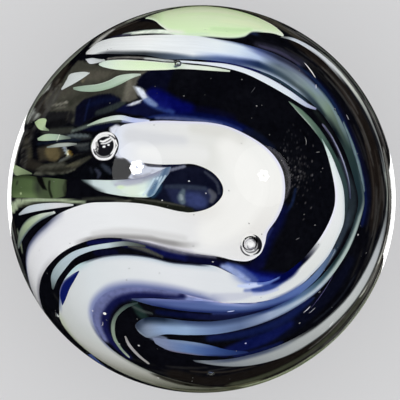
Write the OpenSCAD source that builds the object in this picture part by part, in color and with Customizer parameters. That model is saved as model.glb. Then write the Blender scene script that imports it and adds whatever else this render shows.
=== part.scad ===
// Glass marble: clear glass cast round a dark heart, with ribbons of opal glass folded in between
// Millimetres. The middle of the ball is the origin, and its face, the side with the hook, looks up (+Z)

/* [Ball] */
// Diameter of the ball
ball_d = 16; // [15:0.5:25]
// Refractive index of the clear glass
glass_index = 1.5; // [1.45:0.01:1.6]

/* [Heart] */
// Clear glass between the deepest ribbons and the dark heart
heart_gap = 0.19; // [0.1:0.01:0.5]
// Radius of the round hollow in the heart's side, which clear glass fills
window_r = 6; // [4:0.5:8]
// Depth of that hollow
window_depth = 1.2; // [0.4:0.1:1.6]

/* [Ribbons] */
// Clear glass between the ball's surface and the uppermost ribbons
cover = 0.95; // [0.9:0.01:1]
// Thickness of a ribbon along its middle
ribbon_t = 0.14; // [0.08:0.01:0.16]
// Step down from one layer of ribbons to the next
layer_step = 0.24; // [0.22:0.01:0.26]

/* [Bubbles] */
// Diameter of the bubble at the end of the hook
tip_bubble_d = 1.1; // [0.6:0.05:1.1]
// Diameter of the bubble in the bend of the hook
bend_bubble_d = 0.76; // [0.4:0.02:0.78]
// Diameter of a seed bubble
seed_d = 0.3; // [0.2:0.02:0.5]
// Clear glass left over a bubble
bubble_cover = 0.08; // [0.06:0.01:0.1]

/* [Hidden] */

ball_r = ball_d / 2;
// Layers that the ribbons lie in, one under another
layers = 4;
heart_r = ball_r - cover - ribbon_t - (layers - 1) * layer_step - heart_gap;
// Share of the full thickness that a ribbon keeps at its two ends
end_thin = 0.5;
// Crossings laid along a ribbon for each row of its list
fine = 2;
coarse = 1;
// Where the facets across a wide and a narrow ribbon meet, as shares of its width
wide = [0.15, 0.5, 0.85];
narrow = [0.2, 0.8];
// Share of the full thickness at those places
wide_swell = [0.75, 1, 0.75];
narrow_swell = [1, 1];

// Routes. The chart of the face counts steps across and up from its middle, with 92 to the rim
// A row is one crossing of a ribbon: across and up of one edge, then across and up of the other edge
rim_steps = 92;
hook = [
    [-27, 20.5, -26, 15.5], [-25, 23, -24.5, 13], [-20, 23.7, -20, 11.4], [-13, 24, -13.5, 10.4],
    [-5, 23.6, -7.5, 10.3], [2, 23.2, -3, 10.4], [8, 22, 0.5, 9.4], [13.5, 19.6, 3.3, 7.8],
    [18.5, 16.6, 5.2, 5.8], [22.3, 13, 6.3, 3.6], [24.7, 8.8, 6.3, 1.5], [25.5, 4, 5.3, -0.3],
    [25, -1, 3.6, -1.9], [23, -5.7, 1.5, -3], [20, -10, -1, -3.7], [19.2, -13.5, -2.5, -3.9],
    [17.8, -16.7, -4, -4], [14.5, -18.7, -5.5, -3.8], [10.5, -18.6, -7.5, -3.5], [5, -17.3, -10, -2.9],
    [-2, -16.3, -14, -2], [-9, -14.7, -19, -1.3], [-16, -13, -24, -1], [-24, -12, -29.5, -1],
    [-32, -12.3, -35.5, -1.3], [-40, -14.6, -41.5, -2.8], [-47, -18, -47.5, -5], [-53, -22.4, -53.5, -8.5],
    [-58, -27, -60, -12.8], [-62, -32, -66, -18], [-65.5, -38, -70, -24.5], [-68, -44, -72.5, -33],
    [-70.5, -50, -75, -43], [-75, -58, -81, -52], [-83, -66, -90, -62], [-95, -73, -98, -71]];
sweep = [
    [39.2, 19.8, 39.5, 19.4], [41, 14.5, 42.3, 15], [42.3, 9.5, 44.6, 10], [43.5, 3.5, 46.9, 4],
    [43.5, -1.5, 47.6, -2], [42, -6, 47.3, -8], [39.3, -10.8, 44.8, -13.5], [35.8, -15.3, 41.5, -19],
    [31.3, -19.8, 37, -23.7], [26, -23.5, 32, -28], [20.5, -25.8, 26, -31], [15, -25.5, 19.5, -32.5],
    [9.5, -23, 13, -32.7], [4, -20.3, 6, -32], [-2, -19.5, 0, -30.8], [-9, -18.9, -7, -29],
    [-16, -17.4, -14, -28], [-23, -16.9, -22, -27.8], [-30, -17.7, -29.5, -29.7], [-36, -19.6, -34.5, -33.5],
    [-42, -22.5, -37.3, -38], [-48, -28.5, -38.3, -44], [-51.5, -35, -37, -49.5], [-54, -42, -34, -54.5],
    [-56, -48, -30, -58.5], [-54.5, -54.5, -24, -62.7], [-48.5, -62, -17, -66.8], [-40.5, -68.5, -9.5, -70.3],
    [-31, -74.5, -2, -73.3], [-20, -80, 6, -76.5], [-8, -84.5, 14, -79.5], [6, -87, 20, -82]];
outer_arc = [
    [30, 61.3, 31, 62.5], [35, 61.3, 36.7, 63.6], [41, 59, 43.5, 61.8], [47.2, 54.3, 50.8, 57.2],
    [52, 48.8, 56.5, 51.8], [57, 42.3, 61.8, 44.8], [61.7, 35.6, 66.5, 37.5], [65.5, 28, 69.5, 29.5],
    [68.7, 20.3, 71.8, 21.3], [70.8, 11.5, 73.2, 12], [71.8, 3, 74.2, 3], [70.5, -5, 74, -6],
    [68.2, -11.5, 73, -13.5], [64.8, -18.5, 70.8, -22.5], [59.5, -27.5, 67, -31], [53.5, -35.5, 61.3, -39],
    [46, -42, 54, -46.3], [37.5, -47.7, 46.3, -52.3], [28.5, -51.7, 37, -57.3], [19.5, -54.3, 27, -60],
    [11, -56, 17, -61], [3.5, -56.5, 8, -60], [-3, -56.4, -1.5, -57.5]];
long_band = [
    [-46, 59, -45.5, 57], [-42, 63, -41.5, 55.3], [-36, 63, -35, 53.4], [-28, 61.2, -27.5, 51.2],
    [-20, 59.8, -19.5, 49.4], [-11, 58.6, -11.5, 46.7], [-2, 57.3, -3, 46.2], [6, 55.6, 5, 45.5],
    [13, 54.4, 12, 44.3], [20, 52.7, 18.5, 42.7], [27, 50.4, 25, 40.2], [34, 46.6, 31.5, 36.2],
    [40, 41, 37, 32], [45, 34, 41.2, 27.8], [49.3, 25.5, 44.8, 22.8], [52.5, 16.5, 48.8, 15.8],
    [55, 9, 51.5, 8.5], [57.3, 0, 54, 0], [55.7, -6.5, 52.8, -6], [52, -15, 49.3, -14],
    [47, -22.5, 44.3, -21], [40.5, -30, 37.8, -27.5], [32.5, -35.4, 30, -32.3], [23, -39.8, 21.5, -35.7],
    [13, -42.7, 12, -38], [4, -44.3, 3.5, -39.2], [-5, -44.6, -5, -39], [-12, -44.7, -12, -38.2],
    [-17.5, -46.8, -17.5, -38.4], [-20.5, -45.3, -20.5, -40], [-22, -43, -22, -41.8]];
crown = [
    [-23, 74, -22.5, 75.5], [-18.5, 70, -19.5, 77.5], [-14.5, 64, -14, 80.3], [-9, 58.3, -7, 83],
    [0, 57, 0, 84], [9, 56.3, 8.5, 82.7], [15, 57.7, 15.5, 80], [18.5, 61, 21, 77],
    [23.5, 62.6, 25.5, 73.7], [28, 63.1, 29.5, 69.5], [31.5, 62.3, 32, 64.5]];
high_line = [
    [-8, 45.8, -8, 45.2], [0, 45, 0, 44.1], [8, 44.4, 8, 42.7], [15, 42.8, 14.5, 40.8],
    [22, 40, 21, 37.6], [29, 36, 28, 33.8], [35, 32, 34, 30.6], [38.5, 30.5, 38.2, 29.8]];
mint_band = [
    [-37, 49, -36.7, 48], [-34, 49.5, -34, 46.3], [-28, 48.6, -28, 44], [-20, 46.9, -20, 42.7],
    [-12, 45.2, -12, 42.2], [-7.5, 44.7, -7.7, 42.3], [-4, 43.9, -4, 42.1], [3, 43, 3, 41.5],
    [9.3, 41.8, 9.2, 41.2]];
green_edge = [
    [28.3, 31.7, 28.7, 31.3], [31, 28.3, 32.5, 29.4], [34.8, 24.3, 37, 25.3], [38.5, 19.8, 40.8, 20.5],
    [42, 14, 44, 15.2], [44.3, 9, 47, 9.5], [46.6, 3.5, 49, 3.5], [47.6, -2, 49.2, -2.3], [47, -7, 48.2, -8]];
lilac_line = [
    [40, 25, 40.4, 24.8], [42.9, 20.4, 43.7, 20.8], [46.4, 13.5, 47.4, 13.7], [48.8, 6.5, 49.7, 6.5],
    [50.1, 0, 50.4, 0]];
low_streak = [
    [-16.5, -46.5, -15.5, -49.3], [-12, -46.8, -11, -52], [-5, -47.3, -4.5, -53.3], [2, -48.8, 3, -54.2],
    [9, -51.5, 10.5, -54.4], [15.5, -52.8, 16.5, -53.6]];
mid_streak = [
    [-22.3, -31.8, -22.2, -32.2], [-16, -31.3, -15.5, -33.8], [-8, -31.4, -8, -35], [0, -31.8, 0, -35.8],
    [8, -32.7, 8, -36.2], [16, -33.3, 16.5, -36], [24, -32, 26, -34], [31, -29, 33, -30.6],
    [37.5, -23.8, 39.5, -25], [43.3, -16.5, 44.3, -17]];
cobalt_sliver = [
    [-51.4, -39, -51, -39], [-51.3, -34, -48.5, -35.5], [-48.3, -29, -46, -31.5], [-44.2, -25.8, -43.4, -28],
    [-40.8, -23.8, -40.6, -24.2]];
gap_streak = [
    [-55, -33, -54.3, -33.2], [-54, -27.5, -51, -28.5], [-49.7, -22.3, -47.2, -24.5], [-43, -17.7, -42, -19.7],
    [-36, -15.2, -35.5, -16.7], [-29, -13.7, -29, -15.3], [-23, -13, -22.8, -14.3], [-17, -14, -17, -14.6]];
green_curl = [
    [-20.5, -33, -20.3, -33.4], [-25.3, -34.6, -24.6, -35.8], [-29.4, -39, -28.2, -39.6],
    [-31.3, -44, -29.8, -44.3], [-31.4, -49.5, -30, -49.3], [-29.5, -54.5, -28.5, -54],
    [-26.6, -58.5, -26.3, -58.2]];
curl_line = [
    [-26.6, -47.5, -26.1, -47.3], [-26, -51.5, -24.8, -51.2], [-23.3, -56.3, -22.2, -55.8],
    [-19.4, -60.5, -18.9, -60.2]];
wedge = [
    [-38.5, 6.2, -38, 5.4], [-34, 6, -33, 2.8], [-27, 5.8, -26, 1.2], [-19, 6.3, -18.5, 0.5],
    [-13.5, 8, -14.5, 1], [-10.5, 9.3, -12, 4.5], [-9, 9.6, -9.7, 7.5]];
window_wave = [
    [-46.3, 40.4, -46, 39.4], [-42, 40, -42, 37.7], [-36, 39.4, -36, 36.5], [-31.5, 40.1, -31, 36.8],
    [-28, 41.6, -27, 38], [-23.5, 41.8, -23, 39.9], [-20, 41.3, -20, 40.8]];
window_flag = [
    [-52.7, 41.2, -52.2, 40.8], [-51.3, 45.3, -47, 42], [-50.5, 47.8, -43, 43.5], [-46, 47.3, -40.5, 45],
    [-40.8, 45.6, -40.3, 45.2]];
window_chip = [
    [-44.5, 53.7, -44, 53], [-41, 53, -41.5, 50.2], [-37.5, 51.3, -38, 49.5], [-35, 50.4, -34.8, 49.8]];
side_leaf = [
    [-60.5, 22.5, -60, 21.5], [-56, 23.3, -56, 20.8], [-50, 22.4, -50, 20.3], [-44, 20.8, -43.8, 20.1]];
side_sliver = [
    [-54.5, 18.4, -54.3, 17.9], [-49.5, 19, -49.5, 17.7], [-44.5, 18.8, -44.5, 17.6], [-41, 18.3, -41, 17.8]];
side_drop = [
    [-64.8, 30, -64.4, 29.2], [-61.5, 30.6, -62, 27], [-57.3, 29.4, -59.6, 25.6], [-57.2, 26.6, -57.4, 25],
    [-54.8, 25, -54.6, 24.3]];
brow_line = [
    [-37.5, 24.2, -37.3, 23.8], [-32, 26, -31.7, 24.6], [-26, 26.6, -26, 25], [-21, 25.3, -21.5, 23.8],
    [-16, 24.4, -16.5, 23.4]];
rim_sliver = [
    [-71, -5.8, -70.5, -6.3], [-64, -2.8, -64, -5.2], [-56, -1.6, -56, -4], [-48, -1.3, -48, -3],
    [-41.5, -1.6, -41.5, -2.2]];
rim_leaf = [
    [-76.5, -20, -75, -20.5], [-72, -13, -68.5, -15], [-65, -7.8, -62, -10.5], [-57, -5.3, -55.5, -7.2],
    [-49.5, -4.2, -49, -4.8]];
olive_patch = [
    [-80, 9, -81, 1], [-74, 9.3, -75, 0.6], [-66, 9, -66, 0.5], [-58, 7.8, -58, 0.3], [-50, 7, -50, 0.2],
    [-44, 6.3, -44.5, 1]];
pale_fin = [
    [-79, 14.5, -79.5, 12], [-74, 13.3, -74.5, 9.5], [-68, 11.5, -68, 9.3], [-62, 9.5, -61.8, 9]];
rim_line = [
    [82.6, -22.1, 86, -23], [77.5, -36.1, 80.7, -37.6], [70, -49, 72.9, -51], [60.5, -60.5, 62.9, -62.9],
    [49, -70, 51, -72.9], [36.1, -77.5, 37.6, -80.7], [22.1, -82.6, 23, -86], [7.4, -85, 7.8, -88.5],
    [-7.4, -85, -7.7, -87.5]];
// Routes on the chart of the back, which is the same chart with the ball turned over about its Y axis
back_swirl = [
    [62, -42, 58, -48], [52, -31, 47, -41], [40, -19, 36, -33], [26, -10, 22, -26], [10, -3, 6, -19],
    [-6, 6, -10, -10], [-20, 20, -26, 5], [-27, 36, -38, 24], [-27, 48, -37, 42], [-22, 58, -30, 56],
    [-14, 66, -18, 68]];
back_leaf = [
    [70, -10, 70, -14], [58, 4, 56, -5], [44, 14, 40, 4], [28, 20, 25, 10], [12, 27, 8, 17], [0, 38, -6, 30],
    [-4, 50, -11, 46], [-1, 60, -6, 59], [2, 67, 0, 68]];
back_band = [
    [-55, -27, -54, -33], [-48, -25, -45, -38], [-38, -25, -34, -39], [-24, -28, -20, -42],
    [-8, -34, -6, -48], [10, -42, 12, -54], [28, -52, 30, -62], [44, -60, 46, -65]];
back_arc = [
    [42, 62, 43, 64], [46, 60, 49, 65], [52, 55, 57, 61], [62, 42, 69, 46], [70, 24, 76, 26], [74, 8, 78, 8],
    [78, -6, 80, -6]];

// Places on the chart of the face: the middle of the heart's hollow, the two large bubbles and the seeds
window = [-50, 28];
tip_bubble = [-31, 16.6];
bend_bubble = [14.6, -13.4];
seeds = [[-7.7, 44.4], [3.4, -64.5], [-57, -46]];

// Radius of the middle of layer n, counted down from the uppermost
function layer_r(n) = ball_r - cover - ribbon_t / 2 - n * layer_step;

// Angle from the axis at which a sight line that meets the surface at angle a meets radius r
function bend(a, r) = a + asin(sin(a) * ball_r / (glass_index * r)) - asin(sin(a) / glass_index);

// The same, carried evenly on from the rim to the middle of the back
function sink(a, r) = a <= 90 ? bend(a, r) : bend(90, r) + (a - 90) * (180 - bend(90, r)) / 90;

// Direction from the ball's centre to a charted place on radius r; side is 1 for the face, -1 for the back
function aim(u, v, r, side) =
    let (steps = norm([u, v]), b = sink(steps * 90 / rim_steps, r))
    steps == 0 ? [0, 0, side] : [side * sin(b) * u / steps, sin(b) * v / steps, side * cos(b)];

function unit(p) = p / norm(p);

// A smooth curve through the rows, with k crossings for each row
function blend4(a, b, c, d, t) =
    0.5 * (2 * b + (c - a) * t + (2 * a - 5 * b + 4 * c - d) * t * t + (3 * b - a - 3 * c + d) * t * t * t);
function smooth(rows, k) =
    let (n = len(rows) - 1)
    [for (i = [0:n - 1], j = [0:k - 1])
        blend4(rows[max(i - 1, 0)], rows[i], rows[i + 1], rows[min(i + 2, n)], j / k), rows[n]];

// The middle of a row, and the way from its first edge to its second
function mid(row) = [row[0] + row[2], row[1] + row[3]] / 2;
function across(row) = [row[2] - row[0], row[3] - row[1]];

// The rows with the edge on the left of the way along named first, whichever edge the list began with
function left_first(rows) =
    let (m = floor(len(rows) / 2) - 1, way = mid(rows[m + 1]) - mid(rows[m]))
    cross(way, across(rows[m])) < 0 ? rows : [for (row = rows) [row[2], row[3], row[0], row[1]]];

// The closed section of a ribbon at one crossing: over its upper side, round its edge and back underneath
function section(row, r, h, side, shares, swell) =
    let (a = aim(row[0], row[1], r, side), b = aim(row[2], row[3], r, side), n = len(shares))
    [a * r,
     for (i = [0:n - 1]) unit(a + (b - a) * shares[i]) * (r + h * swell[i]),
     b * r,
     for (i = [n - 1:-1:0]) unit(a + (b - a) * shares[i]) * (r - h * swell[i])];

// A ribbon of glass that lies on layer n along the rows of a route
module ribbon(rows, n, k = coarse, side = 1, shares = narrow, swell = narrow_swell) {
    path = smooth(left_first(rows), k);
    last = len(path) - 1;
    ring = 2 * len(shares) + 2;
    r = layer_r(n);
    full = ribbon_t / 2;
    points = [for (i = [0:last])
        let (h = i == 0 || i == last ? full * end_thin : full)
        each section(path[i], r, h, side, shares, swell)];
    faces = [
        for (i = [0:last - 1], j = [0:ring - 1])
            let (p = i * ring + j, q = i * ring + (j + 1) % ring)
            each [[p, p + ring, q + ring], [p, q + ring, q]],
        [for (j = [0:ring - 1]) j],
        [for (j = [ring - 1:-1:0]) last * ring + j]];
    polyhedron(points, faces);
}

module white_ribbons() {
    ribbon(hook, 0, shares = wide, swell = wide_swell);
    ribbon(sweep, 1, shares = wide, swell = wide_swell);
    ribbon(outer_arc, 1, fine);
    ribbon(high_line, 2);
    ribbon(curl_line, 2, fine);
    ribbon(window_flag, 3);
    ribbon(window_chip, 3);
    ribbon(brow_line, 1, fine);
    ribbon(rim_sliver, 2);
    ribbon(back_swirl, 1, fine, -1, wide, wide_swell);
    ribbon(back_arc, 1, fine, -1);
}

module mint_ribbons() {
    ribbon(crown, 2, shares = wide, swell = wide_swell);
    ribbon(mint_band, 1);
    ribbon(green_edge, 2);
    ribbon(green_curl, 2, fine);
    ribbon(wedge, 1);
    ribbon(window_wave, 3, fine);
    ribbon(side_leaf, 3);
    ribbon(side_sliver, 3);
    ribbon(side_drop, 3);
    ribbon(rim_leaf, 1);
    ribbon(olive_patch, 3);
    ribbon(pale_fin, 2);
    ribbon(rim_line, 2, fine);
    ribbon(back_leaf, 2, fine, -1);
}

module blue_ribbons() {
    ribbon(long_band, 1, fine);
    ribbon(low_streak, 2);
    ribbon(mid_streak, 2);
    ribbon(cobalt_sliver, 0);
    ribbon(gap_streak, 2);
    ribbon(lilac_line, 2);
    ribbon(back_band, 2, fine, -1);
}

// The heart, with its round hollow on the side that the window's place on the chart points to
module heart() {
    difference() {
        sphere(r = heart_r, $fn = 96);
        translate(aim(window[0], window[1], heart_r, 1) * (heart_r - window_depth + window_r))
            sphere(r = window_r, $fn = 96);
    }
}

// A round bubble under a place on the chart, with bubble_cover of glass over it
module bubble(place, d) {
    r = ball_r - bubble_cover - d / 2;
    translate(aim(place[0], place[1], r, 1) * r)
        sphere(d = d, $fn = 32);
}

module bubbles() {
    bubble(tip_bubble, tip_bubble_d);
    bubble(bend_bubble, bend_bubble_d);
    for (seed = seeds) bubble(seed, seed_d);
}

module clear_glass() {
    color("aliceblue", 0.3)
        difference() {
            sphere(r = ball_r, $fn = 128);
            heart();
            white_ribbons();
            mint_ribbons();
            blue_ribbons();
            bubbles();
        }
}

module dark_heart() {
    color("midnightblue") heart();
}

module white_glass() {
    color("white") white_ribbons();
}

module mint_glass() {
    color("palegreen") mint_ribbons();
}

module blue_glass() {
    color("cornflowerblue") blue_ribbons();
}

clear_glass();
dark_heart();
white_glass();
mint_glass();
blue_glass();
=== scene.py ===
import math
import random

import bpy
import numpy as np
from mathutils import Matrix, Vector


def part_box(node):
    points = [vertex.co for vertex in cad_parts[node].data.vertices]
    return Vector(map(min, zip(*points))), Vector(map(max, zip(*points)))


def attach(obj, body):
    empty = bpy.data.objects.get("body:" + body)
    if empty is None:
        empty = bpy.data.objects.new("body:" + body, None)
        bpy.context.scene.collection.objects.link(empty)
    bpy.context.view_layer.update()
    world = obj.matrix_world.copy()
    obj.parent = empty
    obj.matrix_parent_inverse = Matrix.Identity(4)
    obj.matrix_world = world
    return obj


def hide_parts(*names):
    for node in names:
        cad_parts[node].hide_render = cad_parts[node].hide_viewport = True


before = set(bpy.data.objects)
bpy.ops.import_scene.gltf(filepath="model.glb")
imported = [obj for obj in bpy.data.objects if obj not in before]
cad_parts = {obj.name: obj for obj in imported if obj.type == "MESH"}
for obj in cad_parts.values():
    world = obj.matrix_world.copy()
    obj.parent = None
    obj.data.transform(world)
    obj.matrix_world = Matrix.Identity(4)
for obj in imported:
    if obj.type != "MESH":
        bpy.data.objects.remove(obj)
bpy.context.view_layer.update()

# A glass marble: a clear ball cast round a dark heart, with folded ribbons of opal glass and a few bubbles
# in between. Lengths are in millimetres until a point is placed, and MM turns them into metres.

MM = 0.001

# Sizes of the real pieces, as the part's source has them
BALL_R = (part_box("clear_glass")[1][2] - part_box("clear_glass")[0][2]) / 2 / MM
GLASS_INDEX = 1.5
COVER = 0.95
RIBBON_T = 0.14
LAYER_STEP = 0.24
LAYERS = 4
HEART_GAP = 0.19
HEART_R = BALL_R - COVER - RIBBON_T - (LAYERS - 1) * LAYER_STEP - HEART_GAP
WINDOW_R = 6
WINDOW_DEPTH = 1.2
BUBBLE_COVER = 0.08

# A length that counts as none, and the halvings after which a search has come close enough
TINY = 1e-9
HALVINGS = 24

# The shares of a ribbon's thickness that its edges and its tips keep, how fast it grows from the tips, and
# the sharpest bend that is shaded as round
EDGE_SHARE = 0.08
TIP_SHARE = 0.4
TIP_RISE = 12
SMOOTH = math.radians(50)

# The shades that paint is laid on, from 0 to 255: the ribbons' white and the heart's black
WHITE = (236, 237, 238)
BLACK = (3, 3, 7)

# How much less light than the middle the colours get towards the sides, and how that grows next to the rim
SIDE_LOSS = 0.385
RIM_LOSS = 30
RIM_LOSS_FROM = 0.85
RIM_LOSS_TO = 0.96

# The chart of the face counts steps across and up from its middle, with RIM_STEPS to the rim. A row of a
# route is one crossing of a ribbon: across and up of one edge, then across and up of the other edge
RIM_STEPS = 92
WINDOW = (-50, 28)
# Across, up, and the width in mm
BUBBLES = [
    (-31, 16.6, 1.1), (14.6, -13.4, 0.76), (-7.7, 44.4, 0.3), (3.4, -64.5, 0.3), (-57, -46, 0.3)]
HOOK = [
    (-27, 20.5, -26, 15.5), (-25, 23, -24.5, 13), (-20, 23.7, -20, 11.4), (-13, 24, -13.5, 10.4),
    (-5, 23.6, -7.5, 10.3), (2, 23.2, -3, 10.4), (8, 22, 0.5, 9.4), (13.5, 19.6, 3.3, 7.8),
    (18.5, 16.6, 5.2, 5.8), (22.3, 13, 6.3, 3.6), (24.7, 8.8, 6.3, 1.5), (25.5, 4, 5.3, -0.3),
    (25, -1, 3.6, -1.9), (23, -5.7, 1.5, -3), (20, -10, -1, -3.7), (19.2, -13.5, -2.5, -3.9),
    (17.8, -16.7, -4, -4), (14.5, -18.7, -5.5, -3.8), (10.5, -18.6, -7.5, -3.5), (5, -17.3, -10, -2.9),
    (-2, -16.3, -14, -2), (-9, -14.7, -19, -1.3), (-16, -13, -24, -1), (-24, -12, -29.5, -1),
    (-32, -12.3, -35.5, -1.3), (-40, -14.6, -41.5, -2.8), (-47, -18, -47.5, -5),
    (-53, -22.4, -53.5, -8.5), (-58, -27, -60, -12.8), (-62, -32, -66, -18), (-65.5, -38, -70, -24.5),
    (-68, -44, -72.5, -33), (-70.5, -50, -75, -43), (-75, -58, -81, -52), (-83, -66, -90, -62),
    (-95, -73, -98, -71)]
SWEEP = [
    (39.2, 19.8, 39.5, 19.4), (41, 14.5, 42.3, 15), (42.3, 9.5, 44.6, 10), (43.5, 3.5, 46.9, 4),
    (43.5, -1.5, 47.6, -2), (42, -6, 47.3, -8), (39.3, -10.8, 44.8, -13.5), (35.8, -15.3, 41.5, -19),
    (31.3, -19.8, 37, -23.7), (26, -23.5, 32, -28), (20.5, -25.8, 26, -31), (15, -25.5, 19.5, -32.5),
    (9.5, -23, 13, -32.7), (4, -20.3, 6, -32), (-2, -19.5, 0, -30.8), (-9, -18.9, -7, -29),
    (-16, -17.4, -14, -28), (-23, -16.9, -22, -27.8), (-30, -17.7, -29.5, -29.7),
    (-36, -19.6, -34.5, -33.5), (-42, -22.5, -37.3, -38), (-48, -28.5, -38.3, -44),
    (-51.5, -35, -37, -49.5), (-54, -42, -34, -54.5), (-56, -48, -30, -58.5), (-54.5, -54.5, -24, -62.7),
    (-48.5, -62, -17, -66.8), (-40.5, -68.5, -9.5, -70.3), (-31, -74.5, -2, -73.3), (-20, -80, 6, -76.5),
    (-8, -84.5, 14, -79.5), (6, -87, 20, -82)]
OUTER_ARC = [
    (30, 61.3, 31, 62.5), (35, 61.3, 36.7, 63.6), (41, 59, 43.5, 61.8), (47.2, 54.3, 50.8, 57.2),
    (52, 48.8, 56.5, 51.8), (57, 42.3, 61.8, 44.8), (61.7, 35.6, 66.5, 37.5), (65.5, 28, 69.5, 29.5),
    (68.7, 20.3, 71.8, 21.3), (70.8, 11.5, 73.2, 12), (71.8, 3, 74.2, 3), (70.5, -5, 74, -6),
    (68.2, -11.5, 73, -13.5), (64.8, -18.5, 70.8, -22.5), (59.5, -27.5, 67, -31),
    (53.5, -35.5, 61.3, -39), (46, -42, 54, -46.3), (37.5, -47.7, 46.3, -52.3), (28.5, -51.7, 37, -57.3),
    (19.5, -54.3, 27, -60), (11, -56, 17, -61), (3.5, -56.5, 8, -60), (-3, -56.4, -1.5, -57.5)]
LONG_BAND = [
    (-46, 59, -45.5, 57), (-42, 63, -41.5, 55.3), (-36, 63, -35, 53.4), (-28, 61.2, -27.5, 51.2),
    (-20, 59.8, -19.5, 49.4), (-11, 58.6, -11.5, 46.7), (-2, 57.3, -3, 46.2), (6, 55.6, 5, 45.5),
    (13, 54.4, 12, 44.3), (20, 52.7, 18.5, 42.7), (27, 50.4, 25, 40.2), (34, 46.6, 31.5, 36.2),
    (40, 41, 37, 32), (45, 34, 41.2, 27.8), (49.3, 25.5, 44.8, 22.8), (52.5, 16.5, 48.8, 15.8),
    (55, 9, 51.5, 8.5), (57.3, 0, 54, 0), (55.7, -6.5, 52.8, -6), (52, -15, 49.3, -14),
    (47, -22.5, 44.3, -21), (40.5, -30, 37.8, -27.5), (32.5, -35.4, 30, -32.3), (23, -39.8, 21.5, -35.7),
    (13, -42.7, 12, -38), (4, -44.3, 3.5, -39.2), (-5, -44.6, -5, -39), (-12, -44.7, -12, -38.2),
    (-17.5, -46.8, -17.5, -38.4), (-20.5, -45.3, -20.5, -40), (-22, -43, -22, -41.8)]
CROWN = [
    (-23, 74, -22.5, 75.5), (-18.5, 70, -19.5, 77.5), (-14.5, 64, -14, 80.3), (-9, 58.3, -7, 83),
    (0, 57, 0, 84), (9, 56.3, 8.5, 82.7), (15, 57.7, 15.5, 80), (18.5, 61, 21, 77),
    (23.5, 62.6, 25.5, 73.7), (28, 63.1, 29.5, 69.5), (31.5, 62.3, 32, 64.5)]
HIGH_LINE = [
    (-8, 45.8, -8, 45.2), (0, 45, 0, 44.1), (8, 44.4, 8, 42.7), (15, 42.8, 14.5, 40.8),
    (22, 40, 21, 37.6), (29, 36, 28, 33.8), (35, 32, 34, 30.6), (38.5, 30.5, 38.2, 29.8)]
MINT_BAND = [
    (-37, 49, -36.7, 48), (-34, 49.5, -34, 46.3), (-28, 48.6, -28, 44), (-20, 46.9, -20, 42.7),
    (-12, 45.2, -12, 42.2), (-7.5, 44.7, -7.7, 42.3), (-4, 43.9, -4, 42.1), (3, 43, 3, 41.5),
    (9.3, 41.8, 9.2, 41.2)]
GREEN_EDGE = [
    (28.3, 31.7, 28.7, 31.3), (31, 28.3, 32.5, 29.4), (34.8, 24.3, 37, 25.3), (38.5, 19.8, 40.8, 20.5),
    (42, 14, 44, 15.2), (44.3, 9, 47, 9.5), (46.6, 3.5, 49, 3.5), (47.6, -2, 49.2, -2.3),
    (47, -7, 48.2, -8)]
LILAC_LINE = [
    (40, 25, 40.4, 24.8), (42.9, 20.4, 43.7, 20.8), (46.4, 13.5, 47.4, 13.7), (48.8, 6.5, 49.7, 6.5),
    (50.1, 0, 50.4, 0)]
LOW_STREAK = [
    (-16.5, -46.5, -15.5, -49.3), (-12, -46.8, -11, -52), (-5, -47.3, -4.5, -53.3), (2, -48.8, 3, -54.2),
    (9, -51.5, 10.5, -54.4), (15.5, -52.8, 16.5, -53.6)]
MID_STREAK = [
    (-22.3, -31.8, -22.2, -32.2), (-16, -31.3, -15.5, -33.8), (-8, -31.4, -8, -35), (0, -31.8, 0, -35.8),
    (8, -32.7, 8, -36.2), (16, -33.3, 16.5, -36), (24, -32, 26, -34), (31, -29, 33, -30.6),
    (37.5, -23.8, 39.5, -25), (43.3, -16.5, 44.3, -17)]
COBALT_SLIVER = [
    (-51.4, -39, -51, -39), (-51.3, -34, -48.5, -35.5), (-48.3, -29, -46, -31.5),
    (-44.2, -25.8, -43.4, -28), (-40.8, -23.8, -40.6, -24.2)]
GAP_STREAK = [
    (-55, -33, -54.3, -33.2), (-54, -27.5, -51, -28.5), (-49.7, -22.3, -47.2, -24.5),
    (-43, -17.7, -42, -19.7), (-36, -15.2, -35.5, -16.7), (-29, -13.7, -29, -15.3),
    (-23, -13, -22.8, -14.3), (-17, -14, -17, -14.6)]
GREEN_CURL = [
    (-20.5, -33, -20.3, -33.4), (-25.3, -34.6, -24.6, -35.8), (-29.4, -39, -28.2, -39.6),
    (-31.3, -44, -29.8, -44.3), (-31.4, -49.5, -30, -49.3), (-29.5, -54.5, -28.5, -54),
    (-26.6, -58.5, -26.3, -58.2)]
CURL_LINE = [
    (-26.6, -47.5, -26.1, -47.3), (-26, -51.5, -24.8, -51.2), (-23.3, -56.3, -22.2, -55.8),
    (-19.4, -60.5, -18.9, -60.2)]
WEDGE = [
    (-38.5, 6.2, -38, 5.4), (-34, 6, -33, 2.8), (-27, 5.8, -26, 1.2), (-19, 6.3, -18.5, 0.5),
    (-13.5, 8, -14.5, 1), (-10.5, 9.3, -12, 4.5), (-9, 9.6, -9.7, 7.5)]
WINDOW_WAVE = [
    (-46.3, 40.4, -46, 39.4), (-42, 40, -42, 37.7), (-36, 39.4, -36, 36.5), (-31.5, 40.1, -31, 36.8),
    (-28, 41.6, -27, 38), (-23.5, 41.8, -23, 39.9), (-20, 41.3, -20, 40.8)]
WINDOW_FLAG = [
    (-52.7, 41.2, -52.2, 40.8), (-51.3, 45.3, -47, 42), (-50.5, 47.8, -43, 43.5), (-46, 47.3, -40.5, 45),
    (-40.8, 45.6, -40.3, 45.2)]
WINDOW_CHIP = [
    (-44.5, 53.7, -44, 53), (-41, 53, -41.5, 50.2), (-37.5, 51.3, -38, 49.5), (-35, 50.4, -34.8, 49.8)]
SIDE_LEAF = [
    (-60.5, 22.5, -60, 21.5), (-56, 23.3, -56, 20.8), (-50, 22.4, -50, 20.3), (-44, 20.8, -43.8, 20.1)]
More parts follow.
